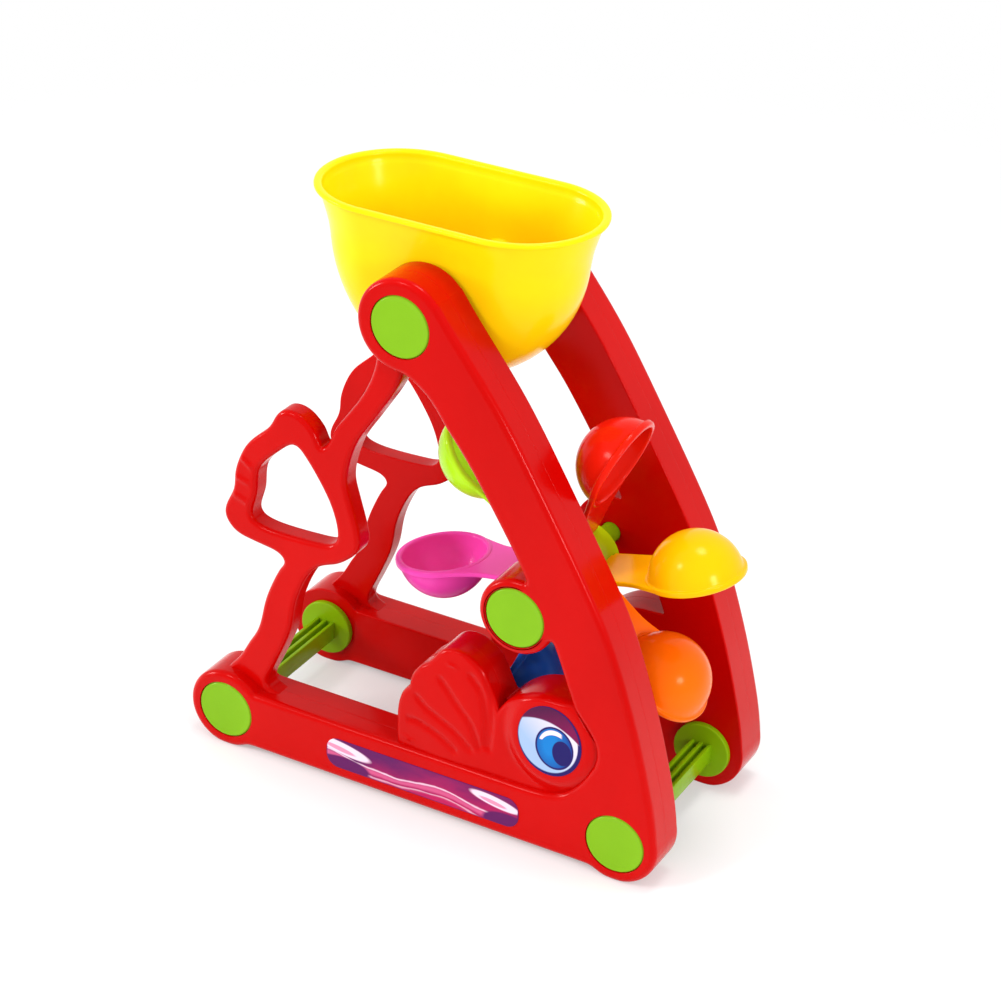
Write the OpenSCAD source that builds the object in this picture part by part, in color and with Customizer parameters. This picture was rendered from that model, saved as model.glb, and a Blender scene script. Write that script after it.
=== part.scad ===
// Sand wheel toy: two moulded side frames carry a wheel of six scoops and a hopper that tips.
// +X runs along the side frames, +Y across them and +Z up, with the origin on the ground
// below the middle of the whole toy.

/* [Side frames] */
// Length over the two lower bosses
frame_length = 206; // [200:0.5:212]
// Height of the top of the upper boss above the ground
frame_height = 220.4; // [216:0.2:225]
// Width over the outer faces of the two frames
frame_width = 95; // [92:0.5:104]
// Depth of one frame, from its outer to its inner face
plate_depth = 19; // [18:0.1:20]
// Depth of the thinner strut and tail loop, centred in the frame's depth
strut_depth = 8.3; // [7:0.1:10]
// Wall of the moulded half shells
shell_wall = 2; // [1.6:0.1:2.3]
// Height of the ground bar's lower edge above the ground
bar_bottom = 2.8; // [2:0.1:4]
// Height of the ground bar
bar_height = 24.4; // [22:0.2:27]
// Radius of a lower boss
foot_boss_r = 16.8; // [16:0.1:18]
// Radius of the upper boss
top_boss_r = 18.2; // [17:0.1:19]
// Radius of the boss round the wheel axle
axle_boss_r = 15.3; // [14.6:0.1:16.5]
// Distance of the upper boss left of the frame's middle
top_boss_left = 9.65; // [8:0.05:11]
// Distance of the wheel axle right of the frame's middle
axle_right = 40.75; // [38:0.05:43]
// Height of the wheel axle above the ground
axle_height = 99.2; // [97:0.1:102]
// Depth of the flat that each lower boss stands on
foot_flat = 0.3; // [0.2:0.05:0.8]
// Radius that softens the inner corners of the outline
corner_blend = 1.2; // [0.8:0.1:2]
// Step of the ribbed fin and the head below the frame's outer face
fin_step = 2.5; // [1:0.1:4]
// Radius of the raised pad under the eye
eye_pad_r = 16.6; // [15:0.1:17]

/* [Caps and cross bars] */
// Radius of the round caps
cap_r = 12; // [11:0.1:12.3]
// Thickness of the round caps
cap_height = 3; // [2.4:0.1:4]
// Radial gap round a cap in its seat
cap_gap = 0.15; // [0.08:0.01:0.25]
// Radius of the stem behind a cap
stem_r = 2.6; // [2.2:0.1:2.8]
// Length of the stem behind a cap
stem_length = 7; // [5:0.5:9]
// Radius of a cross bar's spigot
spigot_r = 6; // [5.5:0.1:6.6]
// Radius of a cross bar's end flange
flange_r = 11.7; // [10:0.1:13]
// Thickness of a cross bar's end flange
flange_height = 2.4; // [1.6:0.1:3]
// Thickness of a cross bar's three ribs
rib_thickness = 1.6; // [1.2:0.1:2.2]
// Height of a cross bar's ribs
rib_height = 8; // [6:0.2:11]
// Distance between the ribs
rib_pitch = 3.6; // [3:0.1:5]
// Radial clearance of a fixed pin or spigot in its bore
seat_gap = 0.04; // [0.02:0.01:0.06]

/* [Wheel] */
// Radius of the fixed axle
axle_r = 4; // [3.6:0.1:4.4]
// Radial clearance of a turning part on its axle or pin
running_gap = 0.07; // [0.03:0.01:0.1]
// Radius of the hub
hub_r = 14; // [13:0.2:15]
// Width of the hub
hub_width = 32; // [29:0.5:36]
// Radius of the necks at both ends of the hub
neck_r = 6.4; // [5.6:0.1:8]
// Gap between the front neck and the frame beside it
wheel_end_gap = 0.5; // [0.3:0.1:1.5]
// Gap between the scoops and the front frame, as the wheel rests
scoop_side_gap = 3.6; // [3:0.1:9]
// Distance of a bowl's centre from the axle
scoop_reach = 54; // [51:0.5:55]
// Outer radius of a scoop's bowl
bowl_r = 17.9; // [17:0.1:18.4]
// Wall of a scoop's bowl
bowl_wall = 1.6; // [1.2:0.1:2]
// Outer radius of the lip round a bowl
lip_r = 18.9; // [18.6:0.1:20]
// Height of the lip round a bowl
lip_height = 2.5; // [1.8:0.1:3]
// Width of a scoop's flat handle
handle_width = 24.5; // [22:0.5:27]
// Thickness of a scoop's flat handle
handle_thickness = 2.2; // [1.8:0.1:2.6]
// Width of the tongue that the hub holds
tongue_width = 21; // [18:0.5:22]
// Distance of the tongue's end from the axle
tongue_start = 8; // [7.6:0.1:9]
// Gap round a tongue in its slot
slot_gap = 0.05; // [0.03:0.01:0.1]
// Angle of the yellow scoop above the level, as the wheel rests
wheel_turn = 14.3; // [8:0.1:20]

/* [Hopper] */
// Height of the hopper's rim above the pins that carry it
hopper_rise = 32.8; // [31:0.2:37]
// Distance of the hopper's middle left of the pins that carry it
hopper_left = 3.15; // [2:0.05:4]
// Radius of the hopper's round belly, seen from the side
belly_r = 50.6; // [49:0.1:51.5]
// Depth that the belly is cut flat at the bottom
belly_flat = 0.8; // [0.5:0.1:1.5]
// Height of the rim above the belly's centre
belly_drop = 16.5; // [15:0.1:18]
// Gap between the hopper's sides and the frames
hopper_gap = 1.3; // [1:0.1:2]
// Height of the rim above the line where the sides flare out
flare_drop = 14; // [12:0.2:14.4]
// Extra half width that the flare gives under the rim
flare_width = 2.2; // [1.6:0.1:5]
// Radius of the lower long edges
keel_r = 20; // [17:0.5:21]
// Wall of the hopper
hopper_wall = 1.8; // [1.4:0.1:2.2]
// Overhang of the rim's lip
rim_lip = 2.2; // [1.6:0.1:4]
// Height of the rim's lip
rim_height = 2.6; // [2:0.1:4]
// Radius of the outlet in the bottom
outlet_r = 5; // [3:0.1:6]
// Radius of the pins that carry the hopper
pin_r = 5; // [4.5:0.1:5.5]
// Distance that a pin reaches into the hopper past the frame's inner face
pin_reach = 7; // [6:0.1:8]
// Radius of the sockets that turn on the pins
socket_r = 8; // [7.2:0.1:9]
// Thickness of a socket's closed end
socket_floor = 1.6; // [1.2:0.1:2.2]
// Gap between a socket and the frame beside it
socket_gap = 0.5; // [0.3:0.05:1]

/* [Stickers] */
// Half width of the eye sticker
eye_half_width = 13.3; // [11:0.1:15]
// Half height of the eye sticker
eye_half_height = 14.7; // [12:0.1:16]
// Length of the label on the ground bar
label_length = 85; // [60:1:90]
// Height of the label on the ground bar
label_height = 13; // [9:0.5:15]
// Thickness of the stickers
sticker_thickness = 0.2; // [0.1:0.05:0.3]

/* [Hidden] */
$fn = 72;

// Length that cuts run past a face, and that joined solids run into each other
overrun = 0.6;
// Straight steps on each stretch of a smooth outline
curve_steps = 3;
// Straight sides of a full circle in an outline
outline_sides = 48;
// Straight sides of a ring of the hopper, a multiple of four
ring_sides = 56;
// Angles by which the scoops lean from even spacing, in the order of their places
scoop_leans = [0, -6.8, -1.8, -5.5, -5, 7.2];
// Place of each scoop, counted anticlockwise from the yellow one
yellow_place = 0;
red_place = 1;
lime_place = 2;
magenta_place = 3;
blue_place = 4;
orange_place = 5;
scoop_count = 6;

// Places across the toy, measured from its middle plane
face_y = frame_width / 2;
inner_y = face_y - plate_depth;
parting_y = (face_y + inner_y) / 2;
seat_y = face_y - cap_height;
strut_face_y = parting_y + strut_depth / 2;
strut_inner_y = parting_y - strut_depth / 2;
pin_end = inner_y - pin_reach;

// Places in the side view, measured from the frame's middle
foot_z = foot_boss_r - foot_flat;
foot_x = frame_length / 2 - foot_boss_r;
top_x = -top_boss_left;
top_z = frame_height - top_boss_r;
axle_x = axle_right;
axle_z = axle_height;
hopper_x = top_x - hopper_left;
bosses = [[-foot_x, foot_z, spigot_r], [foot_x, foot_z, spigot_r], [top_x, top_z, pin_r],
    [axle_x, axle_z, axle_r]];

// The frame's middle lies this far along X, so that the origin is the middle of the whole toy
reach_right = axle_x + (scoop_reach + lip_r) * cos(wheel_turn);
frame_mid_x = (frame_length / 2 - reach_right) / 2;

// Offset of the wheel along its axle, and where its necks end
wheel_slide = inner_y - lip_r - scoop_side_gap;
neck_end = inner_y - wheel_end_gap - abs(wheel_slide);

// Heights on the hopper, its half width below the flare, and the draft of its sides and its ends
hopper_top = top_z + hopper_rise;
belly_z = hopper_top - belly_drop;
flare_z = hopper_top - flare_drop;
keel_z = belly_z - belly_r + keel_r;
hopper_side = inner_y - hopper_gap;
side_draft = 0.06;
end_draft = 0.3;

// Outline points of the side frame, as shares of its length and height
arm_right_shares = [[0.024, 0.969], [0.057, 0.927], [0.160, 0.804], [0.265, 0.650], [0.357, 0.505],
    [0.400, 0.420], [0.440, 0.315], [0.467, 0.230], [0.488, 0.150], [0.497, 0.100]];
arm_left_shares = [[-0.044, 0.837], [-0.015, 0.823], [0.015, 0.801], [0.045, 0.761], [0.093, 0.705],
    [0.179, 0.583], [0.218, 0.520], [0.276, 0.418], [0.307, 0.345], [0.317, 0.324], [0.323, 0.309],
    [0.362, 0.266], [0.372, 0.236], [0.358, 0.184], [0.324, 0.144], [0.290, 0.115]];
arm_core_shares = [[0.300, 0.470], [0.330, 0.430]];
head_shares = [[0.165, 0.255], [0.185, 0.280], [0.219, 0.303], [0.253, 0.314], [0.293, 0.317],
    [0.330, 0.319]];
head_base_shares = [[0.380, 0.250], [0.380, 0.070], [0.165, 0.070]];
fin_left_shares = [[-0.044, 0.090], [-0.046, 0.154], [-0.045, 0.195], [-0.037, 0.225], [-0.021, 0.245]];
fin_top_shares = [[-0.021, 0.245], [-0.016, 0.268], [0.000, 0.290], [0.020, 0.306], [0.040, 0.330],
    [0.057, 0.341], [0.079, 0.344], [0.102, 0.338], [0.127, 0.322], [0.140, 0.304], [0.152, 0.280],
    [0.165, 0.255]];
fin_base_shares = [[0.200, 0.230], [0.200, 0.060], [-0.044, 0.060]];

// Outline points of the strut and its tail loop, as shares of the same sizes
strut_left_shares = [[-0.455, 0.120], [-0.430, 0.149], [-0.404, 0.178], [-0.384, 0.212],
    [-0.361, 0.250], [-0.344, 0.317], [-0.316, 0.378], [-0.300, 0.397]];
tail_low_shares = [[-0.300, 0.397], [-0.311, 0.413], [-0.359, 0.420], [-0.404, 0.428],
    [-0.430, 0.449], [-0.433, 0.474], [-0.411, 0.515]];
tail_mid_shares = [[-0.411, 0.515], [-0.409, 0.554], [-0.383, 0.608], [-0.333, 0.652]];
tail_top_shares = [[-0.333, 0.652], [-0.318, 0.681], [-0.297, 0.695], [-0.263, 0.689],
    [-0.233, 0.662], [-0.225, 0.636]];
strut_upper_shares = [[-0.225, 0.636], [-0.206, 0.654], [-0.194, 0.685], [-0.139, 0.760],
    [-0.113, 0.819], [-0.105, 0.880]];
strut_right_shares = [[-0.047, 0.880], [-0.056, 0.821], [-0.072, 0.784], [-0.116, 0.719],
    [-0.152, 0.665], [-0.171, 0.598], [-0.161, 0.556], [-0.143, 0.498], [-0.144, 0.464],
    [-0.184, 0.429], [-0.239, 0.403], [-0.277, 0.333], [-0.291, 0.263], [-0.322, 0.192],
    [-0.342, 0.152], [-0.344, 0.137], [-0.334, 0.127], [-0.305, 0.117], [-0.340, 0.080]];
tail_hole_shares = [[-0.282, 0.631], [-0.252, 0.610], [-0.206, 0.545], [-0.188, 0.489],
    [-0.201, 0.463], [-0.252, 0.456], [-0.340, 0.456], [-0.374, 0.472], [-0.364, 0.517],
    [-0.357, 0.567], [-0.320, 0.606]];

// Centres of the stickers, as shares of the same sizes
eye_share = [0.279, 0.236];
label_share = [0.017, 0.066];

// Levels of the hopper's rings between its bottom and its rim, as shares of the belly's depth
belly_level_shares = [0, 0.03, 0.08, 0.15, 0.24, 0.34, 0.45, 0.58, 0.72, 0.86, 0.98];

// Points on the frame at shares of its length and height
function spots(shares) = [for (share = shares) [share[0] * frame_length, share[1] * frame_height]];

// Point between b and c on the smooth curve through a, b, c and d
function between(a, b, c, d, t) =
    (2 * b + (c - a) * t + (2 * a - 5 * b + 4 * c - d) * pow(t, 2)
        + (3 * b - a - 3 * c + d) * pow(t, 3)) / 2;

// Smooth open curve through the points
function curve(points) = let (end = len(points) - 1) concat(
    [for (i = [0 : end - 1], k = [0 : curve_steps - 1])
        between(points[max(i - 1, 0)], points[i], points[i + 1], points[min(i + 2, end)], k / curve_steps)],
    [points[end]]);

// Smooth closed curve through the points
function loop_curve(points) = let (n = len(points))
    [for (i = [0 : n - 1], k = [0 : curve_steps - 1])
        between(points[(i + n - 1) % n], points[i], points[(i + 1) % n], points[(i + 2) % n],
            k / curve_steps)];

function reversed(points) = [for (i = [len(points) - 1 : -1 : 0]) points[i]];

// Draws its 2D children in the side view, between two distances in front of the middle plane
module slab(near, far) {
    translate([0, -near, 0]) rotate([90, 0, 0]) linear_extrude(far - near) children();
}

// Round bar across the toy, between two distances in front of the middle plane
module rod(r, near, far) {
    translate([0, -near, 0]) rotate([90, 0, 0]) cylinder(r = r, h = far - near);
}

module back() {
    mirror([0, 1, 0]) children();
}

module both_sides() {
    children();
    back() children();
}

module in_place() {
    translate([frame_mid_x, 0, 0]) children();
}

module at_axle() {
    in_place() translate([axle_x, 0, axle_z]) children();
}

// The wheel stands off the middle of its axle, near the front frame
module at_wheel() {
    at_axle() translate([0, -wheel_slide, 0]) children();
}

// Rounds the inner corners of its children and cuts them off at the ground
module blended() {
    $fn = outline_sides;
    offset(r = -corner_blend) offset(delta = corner_blend) difference() {
        children();
        translate([-frame_length, -frame_length]) square([2 * frame_length, frame_length]);
    }
}

module bar_shape() {
    translate([-foot_x, bar_bottom]) square([2 * foot_x, bar_height]);
    for (side = [-1, 1]) translate([side * foot_x, foot_z]) circle(r = foot_boss_r, $fn = outline_sides);
}

// Curved arm with the bosses on it, and the web that joins the axle's boss to the arm
module arm_shape() {
    web = axle_r + shell_wall;
    translate([top_x, top_z]) circle(r = top_boss_r, $fn = outline_sides);
    translate([axle_x, axle_z]) circle(r = axle_boss_r, $fn = outline_sides);
    polygon(concat(curve(spots(arm_right_shares)), [[foot_x, foot_z], [axle_x + axle_boss_r, foot_z]],
        reversed(curve(spots(arm_left_shares))), [[top_x, top_z]]));
    polygon(concat([[axle_x, axle_z + web]], spots(arm_core_shares), [[axle_x, axle_z - web]]));
}

module head_shape() {
    polygon(concat(curve(spots(head_shares)), spots(head_base_shares)));
}

module eye_pad_shape() {
    translate([eye_share[0] * frame_length, eye_share[1] * frame_height])
        circle(r = eye_pad_r, $fn = outline_sides);
}

module fin_shape() {
    polygon(concat(curve(spots(fin_left_shares)), curve(spots(fin_top_shares)), spots(fin_base_shares)));
}

module casing_outline() {
    blended() union() {
        bar_shape();
        arm_shape();
    }
    eye_pad_shape();
}

module full_outline() {
    blended() union() {
        bar_shape();
        arm_shape();
        head_shape();
        fin_shape();
    }
}

module strut_outline() {
    blended() difference() {
        polygon(concat(curve(spots(strut_left_shares)), curve(spots(tail_low_shares)),
            curve(spots(tail_mid_shares)), curve(spots(tail_top_shares)),
            curve(spots(strut_upper_shares)), curve(spots(strut_right_shares))));
        polygon(loop_curve(spots(tail_hole_shares)));
    }
}

// Round bars on all four bosses: one as wide as each bore and a little extra, one of equal width
module boss_bores(near, far, extra) {
    for (boss = bosses) translate([boss[0], 0, boss[1]]) rod(boss[2] + extra, near, far);
}

module boss_seats(r, near, far) {
    for (boss = bosses) translate([boss[0], 0, boss[1]]) rod(r, near, far);
}

// Outer half shell of the front frame, hollow and open at the parting plane
module outer_half() {
    difference() {
        union() {
            difference() {
                union() {
                    slab(parting_y, face_y) casing_outline();
                    slab(parting_y, face_y - fin_step) full_outline();
                    slab(parting_y, strut_face_y) strut_outline();
                }
                slab(parting_y - overrun, face_y - shell_wall)
                    offset(delta = -shell_wall) casing_outline();
                slab(parting_y - overrun, face_y - fin_step - shell_wall)
                    offset(delta = -shell_wall) full_outline();
                slab(parting_y - overrun, strut_face_y - shell_wall)
                    offset(delta = -shell_wall) strut_outline();
            }
            boss_seats(cap_r + cap_gap + shell_wall, seat_y - shell_wall, face_y);
            boss_bores(parting_y, seat_y, seat_gap + shell_wall);
        }
        boss_seats(cap_r + cap_gap, seat_y, face_y + overrun);
        boss_bores(parting_y - overrun, seat_y + overrun, seat_gap);
    }
}

// Inner half shell of the front frame, hollow and open at the parting plane
module inner_half() {
    difference() {
        union() {
            difference() {
                union() {
                    slab(inner_y, parting_y) full_outline();
                    slab(strut_inner_y, parting_y) strut_outline();
                }
                slab(inner_y + shell_wall, parting_y + overrun)
                    offset(delta = -shell_wall) full_outline();
                slab(strut_inner_y + shell_wall, parting_y + overrun)
                    offset(delta = -shell_wall) strut_outline();
            }
            boss_bores(inner_y, parting_y, seat_gap + shell_wall);
        }
        boss_bores(inner_y - overrun, parting_y + overrun, seat_gap);
    }
}

module front_outer_half() {
    color("red") in_place() outer_half();
}

module front_inner_half() {
    color("red") in_place() inner_half();
}

module back_outer_half() {
    color("red") back() in_place() outer_half();
}

module back_inner_half() {
    color("red") back() in_place() inner_half();
}

// Bar of three upright ribs and a web, with a flange and a spigot at each end
module cross_bar(x) {
    span = 2 * inner_y - flange_height;
    in_place() translate([x, 0, foot_z]) {
        difference() {
            union() {
                rod(spigot_r, -seat_y, -inner_y + flange_height / 2);
                rod(spigot_r, inner_y - flange_height / 2, seat_y);
                rod(flange_r, -inner_y, -inner_y + flange_height);
                rod(flange_r, inner_y - flange_height, inner_y);
            }
            rod(stem_r + seat_gap, seat_y - stem_length - overrun, seat_y + overrun);
            rod(stem_r + seat_gap, -seat_y - overrun, -seat_y + stem_length + overrun);
        }
        for (place = [-1, 0, 1])
            translate([place * rib_pitch, 0, 0]) cube([rib_thickness, span, rib_height], center = true);
        cube([2 * rib_pitch, span, rib_thickness], center = true);
    }
}

module left_cross_bar() {
    color("yellowgreen") cross_bar(-foot_x);
}

module right_cross_bar() {
    color("yellowgreen") cross_bar(foot_x);
}

// Round cap in its seat in the front frame, with the stem that holds it
module cap(x, z) {
    in_place() translate([x, 0, z]) {
        rod(cap_r, seat_y, face_y);
        rod(stem_r, seat_y - stem_length, seat_y + cap_height / 2);
    }
}

module front_left_cap() {
    color("greenyellow") cap(-foot_x, foot_z);
}

module back_left_cap() {
    color("greenyellow") back() cap(-foot_x, foot_z);
}

module front_right_cap() {
    color("greenyellow") cap(foot_x, foot_z);
}

module back_right_cap() {
    color("greenyellow") back() cap(foot_x, foot_z);
}

module front_axle_cap() {
    color("greenyellow") cap(axle_x, axle_z);
}

module back_axle_cap() {
    color("greenyellow") back() cap(axle_x, axle_z);
}

// Fixed axle between the cap seats, bored at both ends for the caps' stems
module wheel_axle() {
    color("greenyellow") at_axle() difference() {
        rod(axle_r, -seat_y, seat_y);
        rod(stem_r + seat_gap, seat_y - stem_length - overrun, seat_y + overrun);
        rod(stem_r + seat_gap, -seat_y - overrun, -seat_y + stem_length + overrun);
    }
}

function scoop_angle(place) = wheel_turn + place * 360 / scoop_count + scoop_leans[place];

module hub_half() {
    slot = tongue_width / 2 + slot_gap;
    difference() {
        union() {
            rod(hub_r, 0, hub_width / 2);
            rod(neck_r, hub_width / 2 - overrun, neck_end);
        }
        rod(axle_r + running_gap, -overrun, inner_y);
        for (place = [0 : scoop_count - 1])
            rotate([0, -scoop_angle(place), 0]) translate([tongue_start - slot_gap, -slot, -slot_gap])
                cube([hub_r, 2 * slot, handle_thickness + 2 * slot_gap]);
    }
}

module hub_front_half() {
    color("olivedrab") at_wheel() hub_half();
}

module hub_back_half() {
    color("olivedrab") at_wheel() back() hub_half();
}

// Flat handle in the plane of the bowl's rim, with the tongue that the hub holds
module handle() {
    shoulder = hub_r + 2 * slot_gap;
    mouth = scoop_reach - bowl_r / 2;
    linear_extrude(handle_thickness) polygon([
        [tongue_start, -tongue_width / 2], [shoulder, -tongue_width / 2], [shoulder, -handle_width / 2],
        [mouth - lip_r / 2, -handle_width / 2], [mouth, -lip_r * cos(30)], [scoop_reach, -bowl_r],
        [scoop_reach, bowl_r], [mouth, lip_r * cos(30)], [mouth - lip_r / 2, handle_width / 2],
        [shoulder, handle_width / 2], [shoulder, tongue_width / 2], [tongue_start, tongue_width / 2]]);
}

// Round bowl on a flat handle, open on the side that the wheel turns towards
module scoop(place) {
    at_wheel() rotate([0, -scoop_angle(place), 0]) difference() {
        union() {
            translate([scoop_reach, 0, 0]) {
                sphere(r = bowl_r);
                cylinder(r = lip_r, h = lip_height);
            }
            handle();
        }
        translate([scoop_reach, 0, 0]) sphere(r = bowl_r - bowl_wall);
        translate([0, -lip_r, -2 * lip_r]) cube([scoop_reach + 2 * lip_r, 2 * lip_r, 2 * lip_r]);
    }
}

module magenta_scoop() {
    color("deeppink") scoop(magenta_place);
}

module lime_scoop() {
    color("greenyellow") scoop(lime_place);
}

module red_scoop() {
    color("orangered") scoop(red_place);
}

module yellow_scoop() {
    color("gold") scoop(yellow_place);
}

module orange_scoop() {
    color("darkorange") scoop(orange_place);
}

module blue_scoop() {
    color("midnightblue") scoop(blue_place);
}

// Closed shell between round-ended rings, each [height, half length, half width]
module loft(rings) {
    n = ring_sides;
    last = len(rings) - 1;
    points = [for (ring = rings, k = [0 : n - 1])
        let (t = (k + 1 / 2) * 360 / n, r = min(ring[1], ring[2]))
        [r * cos(t) + sign(cos(t)) * (ring[1] - r), r * sin(t) + sign(sin(t)) * (ring[2] - r), ring[0]]];
    walls = [for (i = [0 : last - 1], k = [0 : n - 1])
        let (a = i * n + k, b = i * n + (k + 1) % n)
        each [[a, a + n, b], [b, a + n, b + n]]];
    polyhedron(points, concat([[for (k = [0 : n - 1]) k]], walls,
        [[for (k = [n - 1 : -1 : 0]) last * n + k]]));
}

// Half length and half width of the hopper at a height, and the same for the hollow inside it
function half_length(z, inset) = z > belly_z
    ? belly_r - inset + end_draft * (z - belly_z)
    : sqrt(pow(belly_r - inset, 2) - pow(belly_z - z, 2));
function half_width(z, inset) = z > flare_z
    ? hopper_side - inset + flare_width * (z - flare_z) / (flare_drop - rim_height)
    : hopper_side - inset - side_draft * (flare_z - z)
        - (z < keel_z ? keel_r - inset - sqrt(pow(keel_r - inset, 2) - pow(keel_z - z, 2)) : 0);
function level_ring(z, inset) = [z, half_length(z, inset), half_width(z, inset)];

module hopper() {
    floor_z = belly_z - belly_r + belly_flat;
    lip_z = hopper_top - rim_height;
    outer = [for (share = belly_level_shares)
        level_ring(floor_z + share * (belly_z - floor_z), 0)];
    inner = [for (share = belly_level_shares)
        level_ring(floor_z + hopper_wall + share * (belly_z - floor_z - hopper_wall), hopper_wall)];
    top = level_ring(lip_z, 0);
    lip = [for (z = [lip_z, hopper_top]) [z, top[1] + rim_lip, top[2] + rim_lip]];
    mouth = [hopper_top, top[1] - hopper_wall, top[2] - hopper_wall];
    color("gold") in_place() difference() {
        union() {
            translate([hopper_x, 0, 0]) loft(concat(outer, [level_ring(flare_z, 0), top], lip,
                [mouth, level_ring(lip_z, hopper_wall), level_ring(flare_z, hopper_wall)],
                reversed(inner)));
            translate([top_x, 0, top_z]) both_sides()
                rod(socket_r, pin_end - socket_gap - socket_floor, inner_y - socket_gap);
        }
        translate([hopper_x, 0, floor_z - overrun]) cylinder(r = outlet_r, h = hopper_wall + 2 * overrun);
        translate([top_x, 0, top_z]) both_sides()
            rod(pin_r + running_gap, pin_end - socket_gap, inner_y + overrun);
    }
}

// Cap and pin in one piece: the pin carries one side of the hopper
module hopper_pin() {
    in_place() translate([top_x, 0, top_z]) {
        rod(cap_r, seat_y, face_y);
        rod(pin_r, pin_end, seat_y + cap_height / 2);
    }
}

module front_hopper_pin() {
    color("greenyellow") hopper_pin();
}

module back_hopper_pin() {
    color("greenyellow") back() hopper_pin();
}

module sticker(share) {
    in_place() translate([share[0] * frame_length, 0, share[1] * frame_height])
        slab(face_y, face_y + sticker_thickness) children();
}

// Oval eye
module eye_sticker() {
    sticker(eye_share)
        polygon([for (t = [0 : 10 : 350]) [eye_half_width * cos(t), eye_half_height * sin(t)]]);
}

// Straight label with rounded corners
module label() {
    corner = label_height / 3;
    sticker(label_share) offset(r = corner)
        square([label_length - 2 * corner, label_height - 2 * corner], center = true);
}

module front_eye_sticker() {
    color("lightsteelblue") eye_sticker();
}

module back_eye_sticker() {
    color("lightsteelblue") back() eye_sticker();
}

module front_label() {
    color("orchid") label();
}

module back_label() {
    color("orchid") back() label();
}

front_outer_half();
front_inner_half();
back_outer_half();
back_inner_half();
left_cross_bar();
right_cross_bar();
front_left_cap();
back_left_cap();
front_right_cap();
back_right_cap();
wheel_axle();
front_axle_cap();
back_axle_cap();
hub_front_half();
hub_back_half();
magenta_scoop();
lime_scoop();
red_scoop();
yellow_scoop();
orange_scoop();
blue_scoop();
hopper();
front_hopper_pin();
back_hopper_pin();
front_eye_sticker();
back_eye_sticker();
front_label();
back_label();
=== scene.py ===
"""Builds the looks of a sand wheel toy around its frame of moulded parts."""

import math

import bmesh
import bpy
from bpy.props import FloatProperty, FloatVectorProperty, IntProperty, PointerProperty
from mathutils import Matrix, Vector
from mathutils.geometry import delaunay_2d_cdt, intersect_point_line
from mathutils.kdtree import KDTree


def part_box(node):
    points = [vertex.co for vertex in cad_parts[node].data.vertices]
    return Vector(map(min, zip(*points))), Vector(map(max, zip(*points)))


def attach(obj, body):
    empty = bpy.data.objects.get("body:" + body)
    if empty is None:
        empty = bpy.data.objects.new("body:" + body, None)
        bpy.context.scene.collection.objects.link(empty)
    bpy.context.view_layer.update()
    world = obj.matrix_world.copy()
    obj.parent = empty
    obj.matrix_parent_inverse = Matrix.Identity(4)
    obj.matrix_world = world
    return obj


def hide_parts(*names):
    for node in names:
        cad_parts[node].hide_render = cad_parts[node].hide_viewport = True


bl_info = {
    "name": "Sand Wheel Toy",
    "version": (1, 0, 0),
    "blender": (4, 5, 0),
    "location": "3D View > Sidebar > Sand Wheel",
    "description": "Builds a sand wheel toy with a tipping hopper, its finishes and its stage",
    "category": "Add Mesh",
}

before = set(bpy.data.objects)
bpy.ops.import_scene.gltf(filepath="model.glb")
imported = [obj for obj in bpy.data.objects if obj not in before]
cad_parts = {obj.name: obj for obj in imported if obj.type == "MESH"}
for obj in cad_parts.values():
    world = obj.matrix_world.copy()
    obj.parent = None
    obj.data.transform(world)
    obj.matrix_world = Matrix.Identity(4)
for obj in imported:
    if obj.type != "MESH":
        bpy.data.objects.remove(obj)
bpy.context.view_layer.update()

# Where the frame's parts lie: its extent, and the places of its faces across the toy
LOW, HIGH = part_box("front_outer_half")
MIDDLE_X = (LOW.x + HIGH.x) / 2
LENGTH = HIGH.x - LOW.x
HEIGHT = HIGH.z
FACE_Y = -LOW.y
PARTING_Y = -HIGH.y
INNER_Y = -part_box("front_inner_half")[1].y
FRONT, BACK = -1, 1

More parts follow.
